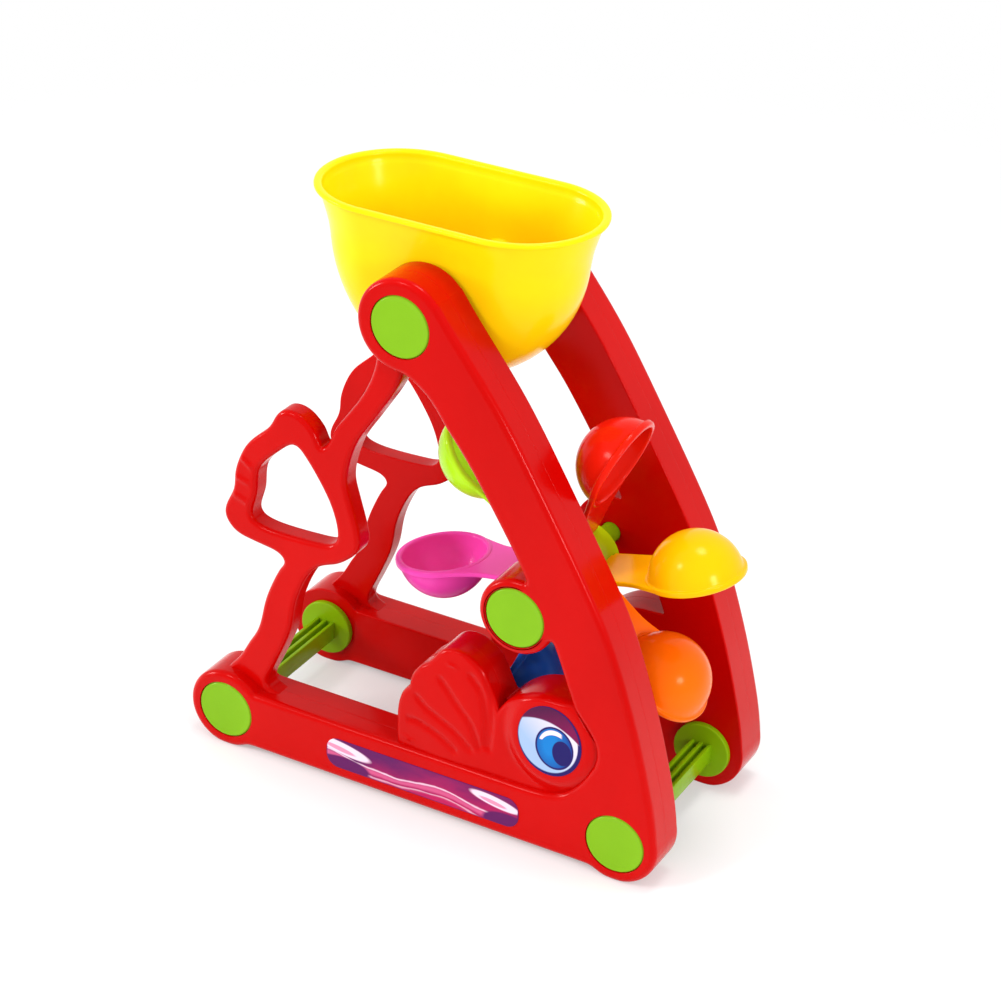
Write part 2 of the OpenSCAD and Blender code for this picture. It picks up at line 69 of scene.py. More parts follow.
# Outlines of the frame's pieces, as shares of its length and its height
FIN_SHARES = [(-0.044, 0.090), (-0.046, 0.154), (-0.045, 0.195), (-0.037, 0.225), (-0.021, 0.245)]
FIN_TOP_SHARES = [(-0.021, 0.245), (-0.016, 0.268), (0.000, 0.290), (0.020, 0.306), (0.040, 0.330),
    (0.057, 0.341), (0.079, 0.344), (0.102, 0.338), (0.127, 0.322), (0.140, 0.304), (0.152, 0.280),
    (0.165, 0.255)]
HEAD_SHARES = [(0.165, 0.255), (0.185, 0.280), (0.219, 0.303), (0.253, 0.314), (0.293, 0.317),
    (0.330, 0.319)]
RELIEF_BASE_SHARES = [(0.385, 0.250), (0.385, 0.070), (-0.044, 0.070)]
STRUT_SHARES = [
    [(-0.455, 0.120), (-0.430, 0.149), (-0.404, 0.178), (-0.384, 0.212), (-0.361, 0.250),
        (-0.344, 0.317), (-0.316, 0.378), (-0.300, 0.397)],
    [(-0.300, 0.397), (-0.311, 0.413), (-0.359, 0.420), (-0.404, 0.428), (-0.430, 0.449),
        (-0.433, 0.474), (-0.411, 0.515)],
    [(-0.411, 0.515), (-0.409, 0.554), (-0.383, 0.608), (-0.333, 0.652)],
    [(-0.333, 0.652), (-0.318, 0.681), (-0.297, 0.695), (-0.263, 0.689), (-0.233, 0.662),
        (-0.225, 0.636)],
    [(-0.225, 0.636), (-0.206, 0.654), (-0.194, 0.685), (-0.139, 0.760), (-0.113, 0.819),
        (-0.105, 0.880)],
    [(-0.047, 0.880), (-0.056, 0.821), (-0.072, 0.784), (-0.116, 0.719), (-0.152, 0.665),
        (-0.171, 0.598), (-0.161, 0.556), (-0.143, 0.498), (-0.144, 0.464), (-0.184, 0.429),
        (-0.239, 0.403), (-0.277, 0.333), (-0.291, 0.263), (-0.322, 0.192), (-0.342, 0.152),
        (-0.344, 0.137), (-0.334, 0.127), (-0.305, 0.117), (-0.340, 0.080)]]
TAIL_HOLE_SHARES = [(-0.282, 0.631), (-0.252, 0.610), (-0.206, 0.545), (-0.188, 0.489),
    (-0.201, 0.463), (-0.252, 0.456), (-0.340, 0.456), (-0.374, 0.472), (-0.364, 0.517),
    (-0.357, 0.567), (-0.320, 0.606)]

# Lines of the grooves in the fin, of the raised tips on its lobes and of the ridges on the tail
FIN_GROOVE_SHARES = [
    [(0.114, 0.342), (0.129, 0.325), (0.143, 0.304), (0.152, 0.269), (0.154, 0.221),
        (0.150, 0.173)],
    [(0.101, 0.311), (0.122, 0.291), (0.136, 0.269), (0.144, 0.226), (0.142, 0.175)],
    [(0.040, 0.288), (0.063, 0.265), (0.084, 0.241), (0.113, 0.210), (0.130, 0.169)],
    [(-0.009, 0.238), (0.018, 0.216), (0.049, 0.201), (0.084, 0.183), (0.112, 0.159)],
    [(-0.026, 0.180), (0.011, 0.179), (0.048, 0.167), (0.079, 0.148)]]
FIN_TIP_SHARES = [
    [(0.067, 0.341), (0.080, 0.342), (0.093, 0.338)],
    [(0.062, 0.315), (0.071, 0.315), (0.080, 0.312)],
    [(-0.029, 0.141), (-0.019, 0.140), (-0.009, 0.138)]]
TAIL_RIDGE_SHARES = [
    [(-0.394, 0.582), (-0.366, 0.563)],
    [(-0.407, 0.542), (-0.372, 0.533)],
    [(-0.413, 0.506), (-0.374, 0.495)]]
FIN_MIDDLE_SHARE = (0.060, 0.215)
EYE_SHARE = (0.279, 0.236)
LABEL_SHARE = (0.017, 0.066)

# Half width and half height of the fin's crown and of the eye, and how far out in them, as
# shares of these, the crown and the eye's pad fade out
CROWN_HALF, CROWN_FADE = (0.026, 0.028), (0.3, 1.15)
EYE_HALF, PAD_FADE = (0.0133, 0.0147), (1.10, 1.62)

# Half widths of a raised tip on the fin and of a ridge on the tail
TIP_WIDTH, RIDGE_WIDTH = 0.0006, 0.0009

# The inner corner under the head that is filled further than the others: middle and radius
CHIN_SHARE, CHIN_RADIUS = (0.315, 0.135), 0.02

# Height below which the yellow plastic carries painted shade, a deeper orange yellow, and how moulded
# plastic bends light
PAINTED_SHADE_HEIGHT = 0.215
PLASTIC_IOR = 1.49

# The camera: what it looks at, its angles in degrees and its distance
TARGET = Vector((0.00364, 0, 0.11634))
AZIMUTH, ELEVATION, ROLL = 28.19, 28.56, 2.14
DISTANCE = 1.06147

# The lamps: place, what each shines at, and width
LAMPS = {
    "key": ((-0.55, -0.95, 1.05), (0, 0, 0.12), 0.28),
    "top": ((0.15, 0.10, 1.35), (0, 0, 0.1), 0.4),
    "fill": ((1.1, -0.45, 0.55), (0, 0, 0.12), 0.3),
    "side": ((-1.15, -0.55, 0.4), (0, 0, 0.1), 0.4)}

# Radii of the caps' stems, the hopper's pins and sockets, the spigots and the hub's bore, and
# the distances from the toy's middle plane at which stems and pins end and sockets start
STEM, STEM_END = 0.0026, 0.0375
PIN, PIN_END = 0.005, 0.0215
SPIGOT, HUB_BORE = 0.006, 0.0042
SOCKET, SOCKET_START = 0.008, 0.0194

# The hopper: how far its rim stands proud, the depths of belly and flare below it, and its drafts
RIM_PROUD = 0.0005
BELLY_DROP, FLARE_DROP, FLARE_RISE = 0.0165, 0.014, 0.0114
END_DRAFT, SIDE_DRAFT = 0.3, 0.06

# Angle of each scoop above the level, in degrees, as the wheel rests
SCOOP_ANGLES = {"yellow": 14.3, "red": 67.5, "lime": 132.5, "magenta": 188.8, "blue": 249.3,
    "orange": 321.5}


def length_setting(name, description, default, low, high):
    return FloatProperty(name=name, description=description, default=default, min=low, max=high,
        unit="LENGTH")


def colour_setting(name, description, default):
    return FloatVectorProperty(name=name, description=description, default=default, size=3, min=0,
        max=1, subtype="COLOR_GAMMA")


def share_setting(name, description, default):
    return FloatProperty(name=name, description=description, default=default, min=0, max=1,
        subtype="FACTOR")


def power_setting(name, description, default):
    return FloatProperty(name=name, description=description, default=default, min=0, max=100,
        unit="POWER")


class FrameSettings(bpy.types.PropertyGroup):
    edge_radius: length_setting("Edge radius", "Rounding of the side frames' outer edges",
        0.0024, 0.0002, 0.003)
    inner_edge_radius: length_setting("Inner edge radius",
        "Rounding of the edges on the frames' inner faces",
        0.0005, 0.0001, 0.002)
    seam: length_setting("Seam", "Width and depth of the seam between two half shells",
        0.00008, 0, 0.001)
    strut_depth: length_setting("Strut depth", "Depth of the strut and its tail loop",
        0.0083, 0.005, 0.012)
    strut_radius: length_setting("Strut edge radius", "Rounding of the strut's outer edges",
        0.0019, 0.0002, 0.003)
    bore_radius: length_setting("Bore edge radius", "Rounding of the edges round the caps",
        0.00025, 0, 0.001)
    relief_step: length_setting("Relief step", "Step of the fin and the head below the outer face",
        0.0025, 0.001, 0.004)
    relief_radius: length_setting("Relief edge radius", "Rounding of the fin's and head's edges",
        0.0018, 0.0002, 0.003)
    groove_depth: length_setting("Groove depth", "Depth of the grooves in the fin",
        0.0009, 0, 0.002)
    groove_width: length_setting("Groove width", "Half width of a groove in the fin",
        0.0012, 0.0003, 0.003)
    tip_height: length_setting("Tip height", "Height of the raised tips on the fin's lobes",
        0.0005, 0, 0.001)
    ridge_height: length_setting("Ridge height", "Height of the ridges across the tail loop",
        0.0006, 0, 0.001)
    fin_crown: length_setting("Fin crown", "Height that the fin swells in its middle",
        0.0012, 0, 0.002)
    grid: length_setting("Relief grid", "Spacing of the points that carry the relief",
        0.0009, 0.0005, 0.003)


class PlasticSettings(bpy.types.PropertyGroup):
    frame_red: colour_setting("Frame red", "Colour of the side frames", (0.73, 0.006, 0.0))
    cap_green: colour_setting("Cap green", "Colour of the round caps", (0.47, 0.67, 0.09))
    bar_green: colour_setting("Bar green", "Colour of the cross bars and the wheel's axle",
        (0.49, 0.65, 0.03))
    hub_green: colour_setting("Hub green", "Colour of the wheel's hub", (0.68, 0.79, 0.04))
    hopper_yellow: colour_setting("Hopper yellow", "Colour of the hopper and the yellow scoop",
        (1.0, 0.83, 0.03))
    # Painted shade: the deeper orange yellow that the yellow plastic turns to low down, where the
    # hopper lies in shade
    painted_shade_yellow: colour_setting("Deep yellow", "Colour low on the hopper and on the yellow scoop",
        (1.0, 0.60, 0.0))
    magenta: colour_setting("Magenta", "Colour of the magenta scoop", (1.0, 0.30, 0.74))
    lime: colour_setting("Lime", "Colour of the lime scoop", (0.74, 1.0, 0.14))
    scoop_red: colour_setting("Scoop red", "Colour of the red scoop", (0.86, 0.10, 0.03))
    orange: colour_setting("Orange", "Colour of the orange scoop", (1.0, 0.41, 0.02))
    blue: colour_setting("Blue", "Colour of the blue scoop", (0.10, 0.32, 0.70))
    roughness: share_setting("Roughness", "Roughness of the moulded plastic", 0.18)
    gloss: share_setting("Gloss", "Strength of the reflections on the moulded plastic", 0.17)


class CapSettings(bpy.types.PropertyGroup):
    radius: length_setting("Cap radius", "Radius of the round caps", 0.012, 0.01, 0.013)
    height: length_setting("Cap height", "Thickness of the round caps", 0.003, 0.002, 0.005)
    bevel: length_setting("Cap bevel", "Rounding of the caps' edges", 0.0006, 0.0001, 0.001)
    rib_height: length_setting("Rib height", "Height of the ribs of a cross bar",
        0.008, 0.004, 0.012)
    rib_thickness: length_setting("Rib thickness", "Thickness of the ribs of a cross bar",
        0.0016, 0.001, 0.003)
    rib_pitch: length_setting("Rib pitch", "Distance between the ribs", 0.0036, 0.002, 0.006)
    flange_radius: length_setting("Flange radius", "Radius of a cross bar's end flange",
        0.0117, 0.008, 0.014)
    flange_height: length_setting("Flange height", "Thickness of a cross bar's end flange",
        0.0024, 0.001, 0.004)


class WheelSettings(bpy.types.PropertyGroup):
    reach: length_setting("Reach", "Distance of a bowl's centre from the axle", 0.054, 0.045, 0.06)
    bowl_radius: length_setting("Bowl radius", "Outer radius of a scoop's bowl",
        0.0179, 0.015, 0.019)
    bowl_wall: length_setting("Bowl wall", "Wall of a scoop's bowl", 0.0016, 0.001, 0.003)
    lip_radius: length_setting("Lip radius", "Outer radius of the lip round a bowl",
        0.0189, 0.016, 0.02)
    lip_height: length_setting("Lip height", "Height of the lip round a bowl", 0.0025, 0.001, 0.004)
    handle_width: length_setting("Handle width", "Width of a scoop's flat handle",
        0.0245, 0.02, 0.03)
    handle_thickness: length_setting("Handle thickness", "Thickness of a scoop's flat handle",
        0.0022, 0.001, 0.004)
    tongue_width: length_setting("Tongue width", "Width of the tongue in the hub",
        0.021, 0.015, 0.025)
    hub_radius: length_setting("Hub radius", "Radius of the hub", 0.014, 0.012, 0.016)
    hub_width: length_setting("Hub width", "Width of the hub without its necks", 0.032, 0.025, 0.04)
    neck_radius: length_setting("Neck radius", "Radius of the necks at both ends of the hub",
        0.0064, 0.005, 0.009)


class HopperSettings(bpy.types.PropertyGroup):
    belly_radius: length_setting("Belly radius", "Radius of the round belly, seen from the side",
        0.0506, 0.04, 0.055)
    wall: length_setting("Wall", "Wall of the hopper", 0.0014, 0.001, 0.003)
    side: length_setting("Side", "Half width of the hopper under its flare", 0.0272, 0.02, 0.03)
    keel_radius: length_setting("Keel radius", "Rounding of the lower long edges",
        0.0235, 0.01, 0.024)
    flare: length_setting("Flare", "Extra half width at the rim", 0.003, 0, 0.006)
    lip: length_setting("Lip", "Overhang of the rim's lip", 0.0018, 0.001, 0.005)
    rim: length_setting("Rim", "Height of the rim's lip", 0.0019, 0.001, 0.005)
    outlet: length_setting("Outlet", "Radius of the outlet in the bottom", 0.005, 0.002, 0.007)
    rings: IntProperty(name="Rings", description="Points round a ring, a multiple of four",
        default=128, min=32, max=256)


class PrintSettings(bpy.types.PropertyGroup):
    eye_half_width: length_setting("Eye half width", "Half width of the eye sticker",
        EYE_HALF[0], 0.01, 0.016)
    eye_half_height: length_setting("Eye half height", "Half height of the eye sticker",
        EYE_HALF[1], 0.01, 0.017)
    label_length: length_setting("Label length", "Length of the label on the ground bar",
        0.085, 0.05, 0.1)
    label_height: length_setting("Label height", "Height of the label on the ground bar",
        0.013, 0.008, 0.016)
    thickness: length_setting("Sticker thickness", "Thickness of the stickers",
        0.0002, 0.0001, 0.0005)
    outline: colour_setting("Outline", "Colour round the eye", (0.12, 0.06, 0.36))
    lid: colour_setting("Lid", "Colour of the eye's lid at its left", (0.30, 0.04, 0.24))
    lid_bright: colour_setting("Bright lid", "Colour of the eye's lid at its right",
        (0.46, 0.03, 0.28))
    white: colour_setting("White", "Palest colour of the eyeball", (0.88, 0.83, 0.90))
    white_shade: colour_setting("Shaded white", "Shaded colour of the eyeball", (0.60, 0.70, 0.84))
    iris: colour_setting("Iris", "Bright colour of the iris", (0.05, 0.46, 0.76))
    iris_shade: colour_setting("Iris shade", "Dark colour of the iris", (0.07, 0.18, 0.52))
    pupil: colour_setting("Pupil", "Colour of the pupil", (0.10, 0.07, 0.36))
    band_pink: colour_setting("Band pink", "Bright colour of the label's waves", (0.80, 0.34, 0.52))
    band_deep: colour_setting("Band magenta", "Deep magenta of the label's ground",
        (0.74, 0.10, 0.33))
    band_purple: colour_setting("Band purple", "Dark colour of the label's ground and ends",
        (0.36, 0.08, 0.34))
    band_pale: colour_setting("Band pale",
        "Palest colour of the label's waves and swirls", (0.95, 0.82, 0.90))


class StageSettings(bpy.types.PropertyGroup):
    sky: FloatProperty(name="Sky", description="Strength of the light from all round", default=0.86,
        min=0, max=3)
    key: power_setting("Key lamp", "Power of the large lamp at the upper left", 5.2)
    top: power_setting("Top lamp", "Power of the lamp above", 6)
    fill: power_setting("Fill lamp", "Power of the lamp at the right", 6)
    side: power_setting("Side lamp", "Power of the low lamp at the left", 8)
    floor_grey: share_setting("Floor", "Brightness of the floor", 0.94)
    lens: length_setting("Lens", "Focal length of the camera", 0.10134, 0.02, 0.3)


def linear(colour):
    """A screen colour as light, with its alpha."""
    return [c / 12.92 if c < 0.04045 else ((c + 0.055) / 1.055) ** 2.4 for c in colour] + [1]


class Wire:
    """A socket that takes part in Python sums: each sum adds a Math node."""

    def __init__(self, finish, socket):
        self.finish = finish
        self.socket = socket

    def sum(self, operation, first, second, clamp=False):
        node = self.finish.node("ShaderNodeMath", {"operation": operation, "use_clamp": clamp},
            {0: first, 1: second})
        return Wire(self.finish, node.outputs[0])

    def __add__(self, other):
        return self.sum("ADD", self, other)

    __radd__ = __add__

    def __sub__(self, other):
        return self.sum("SUBTRACT", self, other)

    def __rsub__(self, other):
        return self.sum("SUBTRACT", other, self)

    def __mul__(self, other):
        return self.sum("MULTIPLY", self, other)

    __rmul__ = __mul__

    def __truediv__(self, other):
        return self.sum("DIVIDE", self, other)

    def __rtruediv__(self, other):
        return self.sum("DIVIDE", other, self)

    def root(self):
        return self.sum("SQRT", self, 0)

    def wave(self):
        return self.sum("SINE", self, 0)

    def size(self):
        return self.sum("ABSOLUTE", self, 0)

    def most(self, other):
        return self.sum("MAXIMUM", self, other)

    def held(self):
        """The value kept between 0 and 1."""
        return self.sum("ADD", self, 0, clamp=True)


class Finish:
    """One material, or the world: every node and link in it is made here."""

    def __init__(self, name, world=None):
        self.material = world or bpy.data.materials.get(name) or bpy.data.materials.new(name)
        self.material.use_nodes = True
        self.tree = self.material.node_tree
        self.tree.nodes.clear()

    def node(self, kind, settings=None, sockets=None):
        """Adds a node: its settings come first, then the values and links of its sockets."""
        node = self.tree.nodes.new(kind)
        for name, value in (settings or {}).items():
            setattr(node, name, value)
        for name, value in (sockets or {}).items():
            if isinstance(value, Wire):
                self.tree.links.new(value.socket, node.inputs[name])
            else:
                node.inputs[name].default_value = value
        return node

    def wire(self, kind, output, settings=None, sockets=None):
        return Wire(self, self.node(kind, settings, sockets).outputs[output])

    def place(self):
        """The place on the piece, in metres."""
        return self.wire("ShaderNodeTexCoord", "Object")

    def spread(self, place, scale):
        """The place, stretched by a scale along each axis."""
        return self.wire("ShaderNodeMapping", "Vector", {}, {"Vector": place, "Scale": scale})

    def noise(self, place, scale, detail=2.0):
        return self.wire("ShaderNodeTexNoise", 0, {},
            {"Vector": place, "Scale": scale, "Detail": detail})

    def parts(self, place):
        """The place along each axis."""
        node = self.node("ShaderNodeSeparateXYZ", {}, {"Vector": place})
        return [Wire(self, node.outputs[axis]) for axis in "XYZ"]

    def mix(self, share, first, second):
        """The first colour where share is 0, and the second where it is 1."""
        first, second = (c if isinstance(c, Wire) else linear(c) for c in (first, second))
        return self.wire("ShaderNodeMix", 2, {"data_type": "RGBA"}, {0: share, 6: first, 7: second})

    def printed(self, colour, *inks):
        """The colour under inks, each a mask and the ink's colour."""
        for mask, ink in inks:
            colour = self.mix(mask, colour, ink)
        return colour

    def bump(self, height, strength, distance):
        return self.wire("ShaderNodeBump", "Normal", {},
            {"Height": height, "Strength": strength, "Distance": distance})

    def surface(self, **sockets):
        """Ends the material in a Principled shader with these sockets, _ standing for a space."""
        named = {name.replace("_", " "): value for name, value in sockets.items()}
        shader = self.wire("ShaderNodeBsdfPrincipled", "BSDF", {}, named)
        self.node("ShaderNodeOutputMaterial", {}, {"Surface": shader})


def moulded_plastic(name, colour, roughness, gloss, painted_shade=None):
    """Glossy moulded plastic: faint flow marks, fine scuffs and a slightly uneven skin.

    Painted shade, a deeper orange yellow, shows towards the bottom of the hopper and below it.
    """
    finish = Finish(name)
    place = finish.place()
    flow = finish.noise(finish.spread(place, (1, 1, 0.35)), 26, 3.0)
    mottle = finish.noise(place, 240, 2.0)
    scuffs = finish.noise(place, 310, 3.0)
    dark = [c * 0.955 for c in colour]
    light = [min(c * 1.03 + 0.012, 1) for c in colour]
    shade = (flow * 1.5 - 0.25 + (mottle - 0.5) * 0.25).held()
    skin = finish.noise(place, 420, 2.0)
    waves = finish.noise(place, 55, 1.0)
    paint = finish.mix(shade, dark, light)
    # Painted shade: below a height the colour turns gradually, up to a little over half way, to a
    # deeper orange yellow
    if painted_shade:
        height = finish.parts(place)[2]
        paint = finish.mix(((PAINTED_SHADE_HEIGHT - height) * 20).held() * 0.55, paint, painted_shade)
    finish.surface(
        Base_Color=paint,
        Roughness=(roughness - 0.04 + 0.08 * flow + ((scuffs - 0.6) * 0.4).held()).held(),
        IOR=PLASTIC_IOR, Specular_IOR_Level=gloss,
        Specular_Tint=[0.4 + 0.6 * c for c in colour] + [1],
        Normal=finish.bump(skin + waves * 3, 0.16, 0.00012))


def disc(u, v, centre, radius, soft):
    """1 inside an upright ellipse and 0 outside it, with a soft edge."""
    across = (u - centre[0]) / radius[0]
    up = (v - centre[1]) / radius[1]
    return ((1 - (across * across + up * up).root()) * (1 / soft) + 0.5).held()


def between(a, b, c, d, t):
    """Point between b and c on the smooth curve through a, b, c and d."""
    return (2 * b + (c - a) * t + (2 * a - 5 * b + 4 * c - d) * t ** 2
        + (3 * b - a - 3 * c + d) * t ** 3) / 2


def spot(share):
    """Point on the side frame at a share of its length and height."""
    return Vector((MIDDLE_X + share[0] * LENGTH, share[1] * HEIGHT))


def spots(shares):
    return [spot(share) for share in shares]


def curve(points, steps=6):
    """Smooth open curve through the points."""
    run = points[:1] + points + points[-1:]
    return [between(*run[i:i + 4], k / steps) for i in range(len(points) - 1)
        for k in range(steps)] + points[-1:]


def ring_curve(points, steps=6):
    """Smooth closed curve through the points."""
    run = points[-1:] + points + points[:2]
    return [between(*run[i:i + 4], k / steps) for i in range(len(points)) for k in range(steps)]


def rounded_box(count, corner, half_length, half_height):
    """Outline of a box with round corners, about its middle."""
    found = []
    for k in range(count):
        t = 2 * math.pi * (k + 0.5) / count
        c, s = math.cos(t), math.sin(t)
        found.append(Vector((corner * c + math.copysign(half_length - corner, c),
            corner * s + math.copysign(half_height - corner, s))))
    return found


def anticlockwise(loop):
    return loop if area(loop) > 0 else loop[::-1]


def unrepeated(points):
    """The closed outline without points that lie on each other."""
    return [p for i, p in enumerate(points) if (p - points[i - 1]).length > 1e-5]


def area(loop):
    return sum(a.x * b.y - b.x * a.y for a, b in zip(loop, loop[1:] + loop[:1])) / 2


def refined(loop, steps=3):
    """The outline with more points where it curves, and its corners and straight runs kept."""
    n = len(loop)
    uneven, straight, corner = 2.6, 0.004, 0.45  # ratio of runs, and turns in radians
    found = []
    for i in range(n):
        a, b, c, d = loop[i - 1], loop[i], loop[(i + 1) % n], loop[(i + 2) % n]
        runs = [(b - a).length, (c - b).length, (d - c).length]
        turns = [abs((b - a).angle_signed(c - b)), abs((c - b).angle_signed(d - c))]
        even = max(runs) < uneven * min(runs) and straight < max(turns) < corner
        found += [between(a, b, c, d, k / steps) if even else b + (c - b) * k / steps
            for k in range(steps if even else 1)]
    return found


def cad_outlines(node, y):
    """Closed outlines of the flat face of a CAD node at a place along Y, the largest first."""
    bm = bmesh.new()
    bm.from_mesh(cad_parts[node].data)
    near = 2e-6
    bmesh.ops.remove_doubles(bm, verts=bm.verts, dist=near)
    away = [face for face in bm.faces if any(abs(vert.co.y - y) > near for vert in face.verts)]
    bmesh.ops.delete(bm, geom=away, context="FACES")
    after = {}
    for edge in bm.edges:
        if edge.is_boundary:
            corner = edge.link_loops[0]
            after[corner.vert] = corner.link_loop_next.vert
    loops = []
    while after:
        start, here = after.popitem()
        loop = [start]
        while here != start:
            loop.append(here)
            here = after.pop(here)
        loops.append(unrepeated([vert.co.xz for vert in loop]))
    bm.free()
    loops.sort(key=lambda loop: -abs(area(loop)))
    return loops


def with_holes(loops):
    """The first outline turned anticlockwise and its holes clockwise, without islands beside it."""
    way = area(loops[0])
    kept = [loops[0]] + [loop for loop in loops[1:] if area(loop) * way < 0]
    return [loop if way > 0 else loop[::-1] for loop in kept]


def inset(loop, distance):
    """The outline moved into the material on its left, with its folds drawn together."""
    least, passes = 0.6, 12  # cosine that a corner's move is divided by, and rounds of unfolding
    moved = []
    for i, here in enumerate(loop):
        before, after = here - loop[i - 1], loop[(i + 1) % len(loop)] - here
        one = Vector((-before.y, before.x)).normalized()
        two = Vector((-after.y, after.x)).normalized()
        middle = (one + two).normalized()
        moved.append(here + middle * distance / max(middle.dot(one), least))
    for _ in range(passes):
        folds = [i for i in range(len(loop))
            if (moved[i] - moved[i - 1]).dot(loop[i] - loop[i - 1]) < 0]
        for i in folds:
            moved[i] = moved[i - 1] = (moved[i] + moved[i - 1]) / 2
    return moved


def eased(loop, rounds, both=4, pitch=0.0008, soft=None):
    """The outline with inner corners filled to soft curves and outer ones a little blunted.

    A soft zone (middle, radius, rounds) is filled further.
    """
    points = []
    for a, b in zip(loop, loop[1:] + loop[:1]):
        steps = max(round((b - a).length / pitch), 1)
        points += [a + (b - a) * k / steps for k in range(steps)]
    for turn in range(soft[2] if soft else rounds):
        softer = []
        for i, here in enumerate(points):
            if turn >= rounds and (here - soft[0]).length > soft[1]:
                softer.append(here)
                continue
            before, after = points[i - 1], points[(i + 1) % len(points)]
            middle, run = (before + after) / 2, after - before
            filling = (middle - here).dot(Vector((run.y, -run.x))) > 0
            softer.append(middle if filling or turn < both else here)
        points = softer
    return unrepeated(points)


def inside(point, loop):
    """Whether a point lies in a closed outline."""
    found = False
    for a, b in zip(loop, loop[1:] + loop[:1]):
        if (a.y > point.y) != (b.y > point.y):
            if point.x < a.x + (b.x - a.x) * (point.y - a.y) / (b.y - a.y):
                found = not found
    return found


def grid_points(loops, pitch):
    """Points of a grid in the outlines, clear of their edges."""
    rim = [p for loop in loops for p in loop]
    tree = KDTree(len(rim))
    for i, p in enumerate(rim):
        tree.insert(p.to_3d(), i)
    tree.balance()
    low_x, high_x = min(p.x for p in rim), max(p.x for p in rim)
    low_z, high_z = min(p.y for p in rim), max(p.y for p in rim)
    clear = 0.6 * pitch
    found = []
    for row in range(int((high_z - low_z) / pitch)):
        crossings = []
        z = low_z + (row + 0.5) * pitch
        for loop in loops:
            for a, b in zip(loop, loop[1:] + loop[:1]):
                if (a.y > z) != (b.y > z):
                    crossings.append(a.x + (b.x - a.x) * (z - a.y) / (b.y - a.y))
        crossings.sort()
        for start, end in zip(crossings[::2], crossings[1::2]):
            first = math.ceil((start - low_x) / pitch - row % 2 / 2)
            last = math.floor((end - low_x) / pitch - row % 2 / 2)
            for column in range(first, last + 1):
                p = Vector((low_x + (column + row % 2 / 2) * pitch, z))
                if tree.find(p.to_3d())[2] > clear:
                    found.append(p)
    return found


def filled(loops, extra=()):
    """Triangles that fill the outlines: their points, and three numbers for each."""
    points, edges = [], []
    for loop in loops:
        first = len(points)
        points += loop
        edges += [(first + k, first + (k + 1) % len(loop)) for k in range(len(loop))]
    corners, _, faces = delaunay_2d_cdt(points + list(extra), edges, [], 1, 1e-8)[:3]
    holes = []
    for loop in loops[1:]:
        middle = sum(loop, Vector((0, 0))) / len(loop)
        holes.append((loop, middle, max((p - middle).length for p in loop)))
    kept = []
    for face in faces:
        middle = sum((corners[k] for k in face), Vector((0, 0))) / 3
        if not any((middle - centre).length < reach and inside(middle, hole)
                for hole, centre, reach in holes):
            kept.append(face)
    return corners, kept


def slab(bm, loops, near, far, soft_near, soft_far, place, bore=None, relief=None, pitch=0,
        steps=5):
    """Closed body with rounded edges between two depths. Its far face can carry a relief.

    A bore is the rounding of the holes' edges on the far face.
    """
    way = 1 if far > near else -1
    rest = 0.0004  # the flat strip beside each rounding
    rims = [[], []]
    for number, loop in enumerate(loops):
        far_radius = soft_far if number == 0 or bore is None else bore
        rings = []
        ends = (near, soft_near, -way, False), (far, far_radius, way, True)
        for depth, radius, sign, back in ends:
            levels = [(radius + rest, depth, 1)] + [
                (radius * (1 - math.cos(turn)), depth - sign * radius * (1 - math.sin(turn)),
                    math.sin(turn))
                for turn in (math.pi / 2 * k / steps for k in range(steps, -1, -1))]
            if abs(far - near) > 2 * radius + 3 * rest:
                levels.append((0, depth - sign * (radius + rest), 0))
            rings += [(level, back) for level in (reversed(levels) if back else levels)]
        rows = []
        for (move, depth, weight), back in rings:
            row = inset(loop, move)
            rise = [relief(p) * weight * way if relief and back else 0 for p in row]
            rows.append([bm.verts.new(place(p, depth + up)) for p, up in zip(row, rise)])
        for low, high in zip(rows, rows[1:]):
            for k in range(len(loop)):
                bm.faces.new((low[k - 1], low[k], high[k], high[k - 1]))
        rims[0].append(inset(loop, soft_near + rest))
        rims[1].append(inset(loop, far_radius + rest))
    for rim, depth, back in ((rims[0], near, False), (rims[1], far, True)):
        extra = grid_points(rim, pitch) if pitch and back else ()
        corners, faces = filled(rim, extra)
        rise = [relief(p) * way if relief and back else 0 for p in corners]
        verts = [bm.verts.new(place(p, depth + up)) for p, up in zip(corners, rise)]
        for face in faces:
            bm.faces.new([verts[k] for k in face])


def rounded(corners, steps=4):
    """A profile through corners (radius, height, rounding), with the rounding as circular arcs."""
    found = []
    for i, (x, y, soft) in enumerate(corners):
        here = Vector((x, y))
        if not soft or i in (0, len(corners) - 1):
            found.append(here)
            continue
        before = Vector(corners[i - 1][:2]) - here
        after = Vector(corners[i + 1][:2]) - here
        half = before.angle(after) / 2
        reach = min(soft / math.tan(half), 0.49 * before.length, 0.49 * after.length)
        start, end = here + before.normalized() * reach, here + after.normalized() * reach
        weight = math.sin(half)
        for k in range(steps + 1):
            t = k / steps
            shares = (1 - t) ** 2, 2 * weight * t * (1 - t), t * t
            found.append((start * shares[0] + here * shares[1] + end * shares[2]) / sum(shares))
    return found


def turned(bm, profile, matrix, steps=64, closed=False):
    """Body turned round the matrix's Z axis from a profile of (radius, height)."""
    rows = []
    for point in profile:
        if point.x < 1e-7:
            rows.append([bm.verts.new(matrix @ Vector((0, 0, point.y)))] * steps)
        else:
            turns = [2 * math.pi * k / steps for k in range(steps)]
            rows.append([bm.verts.new(matrix @ Vector((point.x * math.cos(t), point.x * math.sin(t),
                point.y))) for t in turns])
    pairs = list(zip(rows, rows[1:])) + ([(rows[-1], rows[0])] if closed else [])
    for low, high in pairs:
        for k in range(steps):
            ring = []
            for vert in (low[k - 1], low[k], high[k], high[k - 1]):
                if vert not in ring:
                    ring.append(vert)
            if len(ring) > 2:
                bm.faces.new(ring)


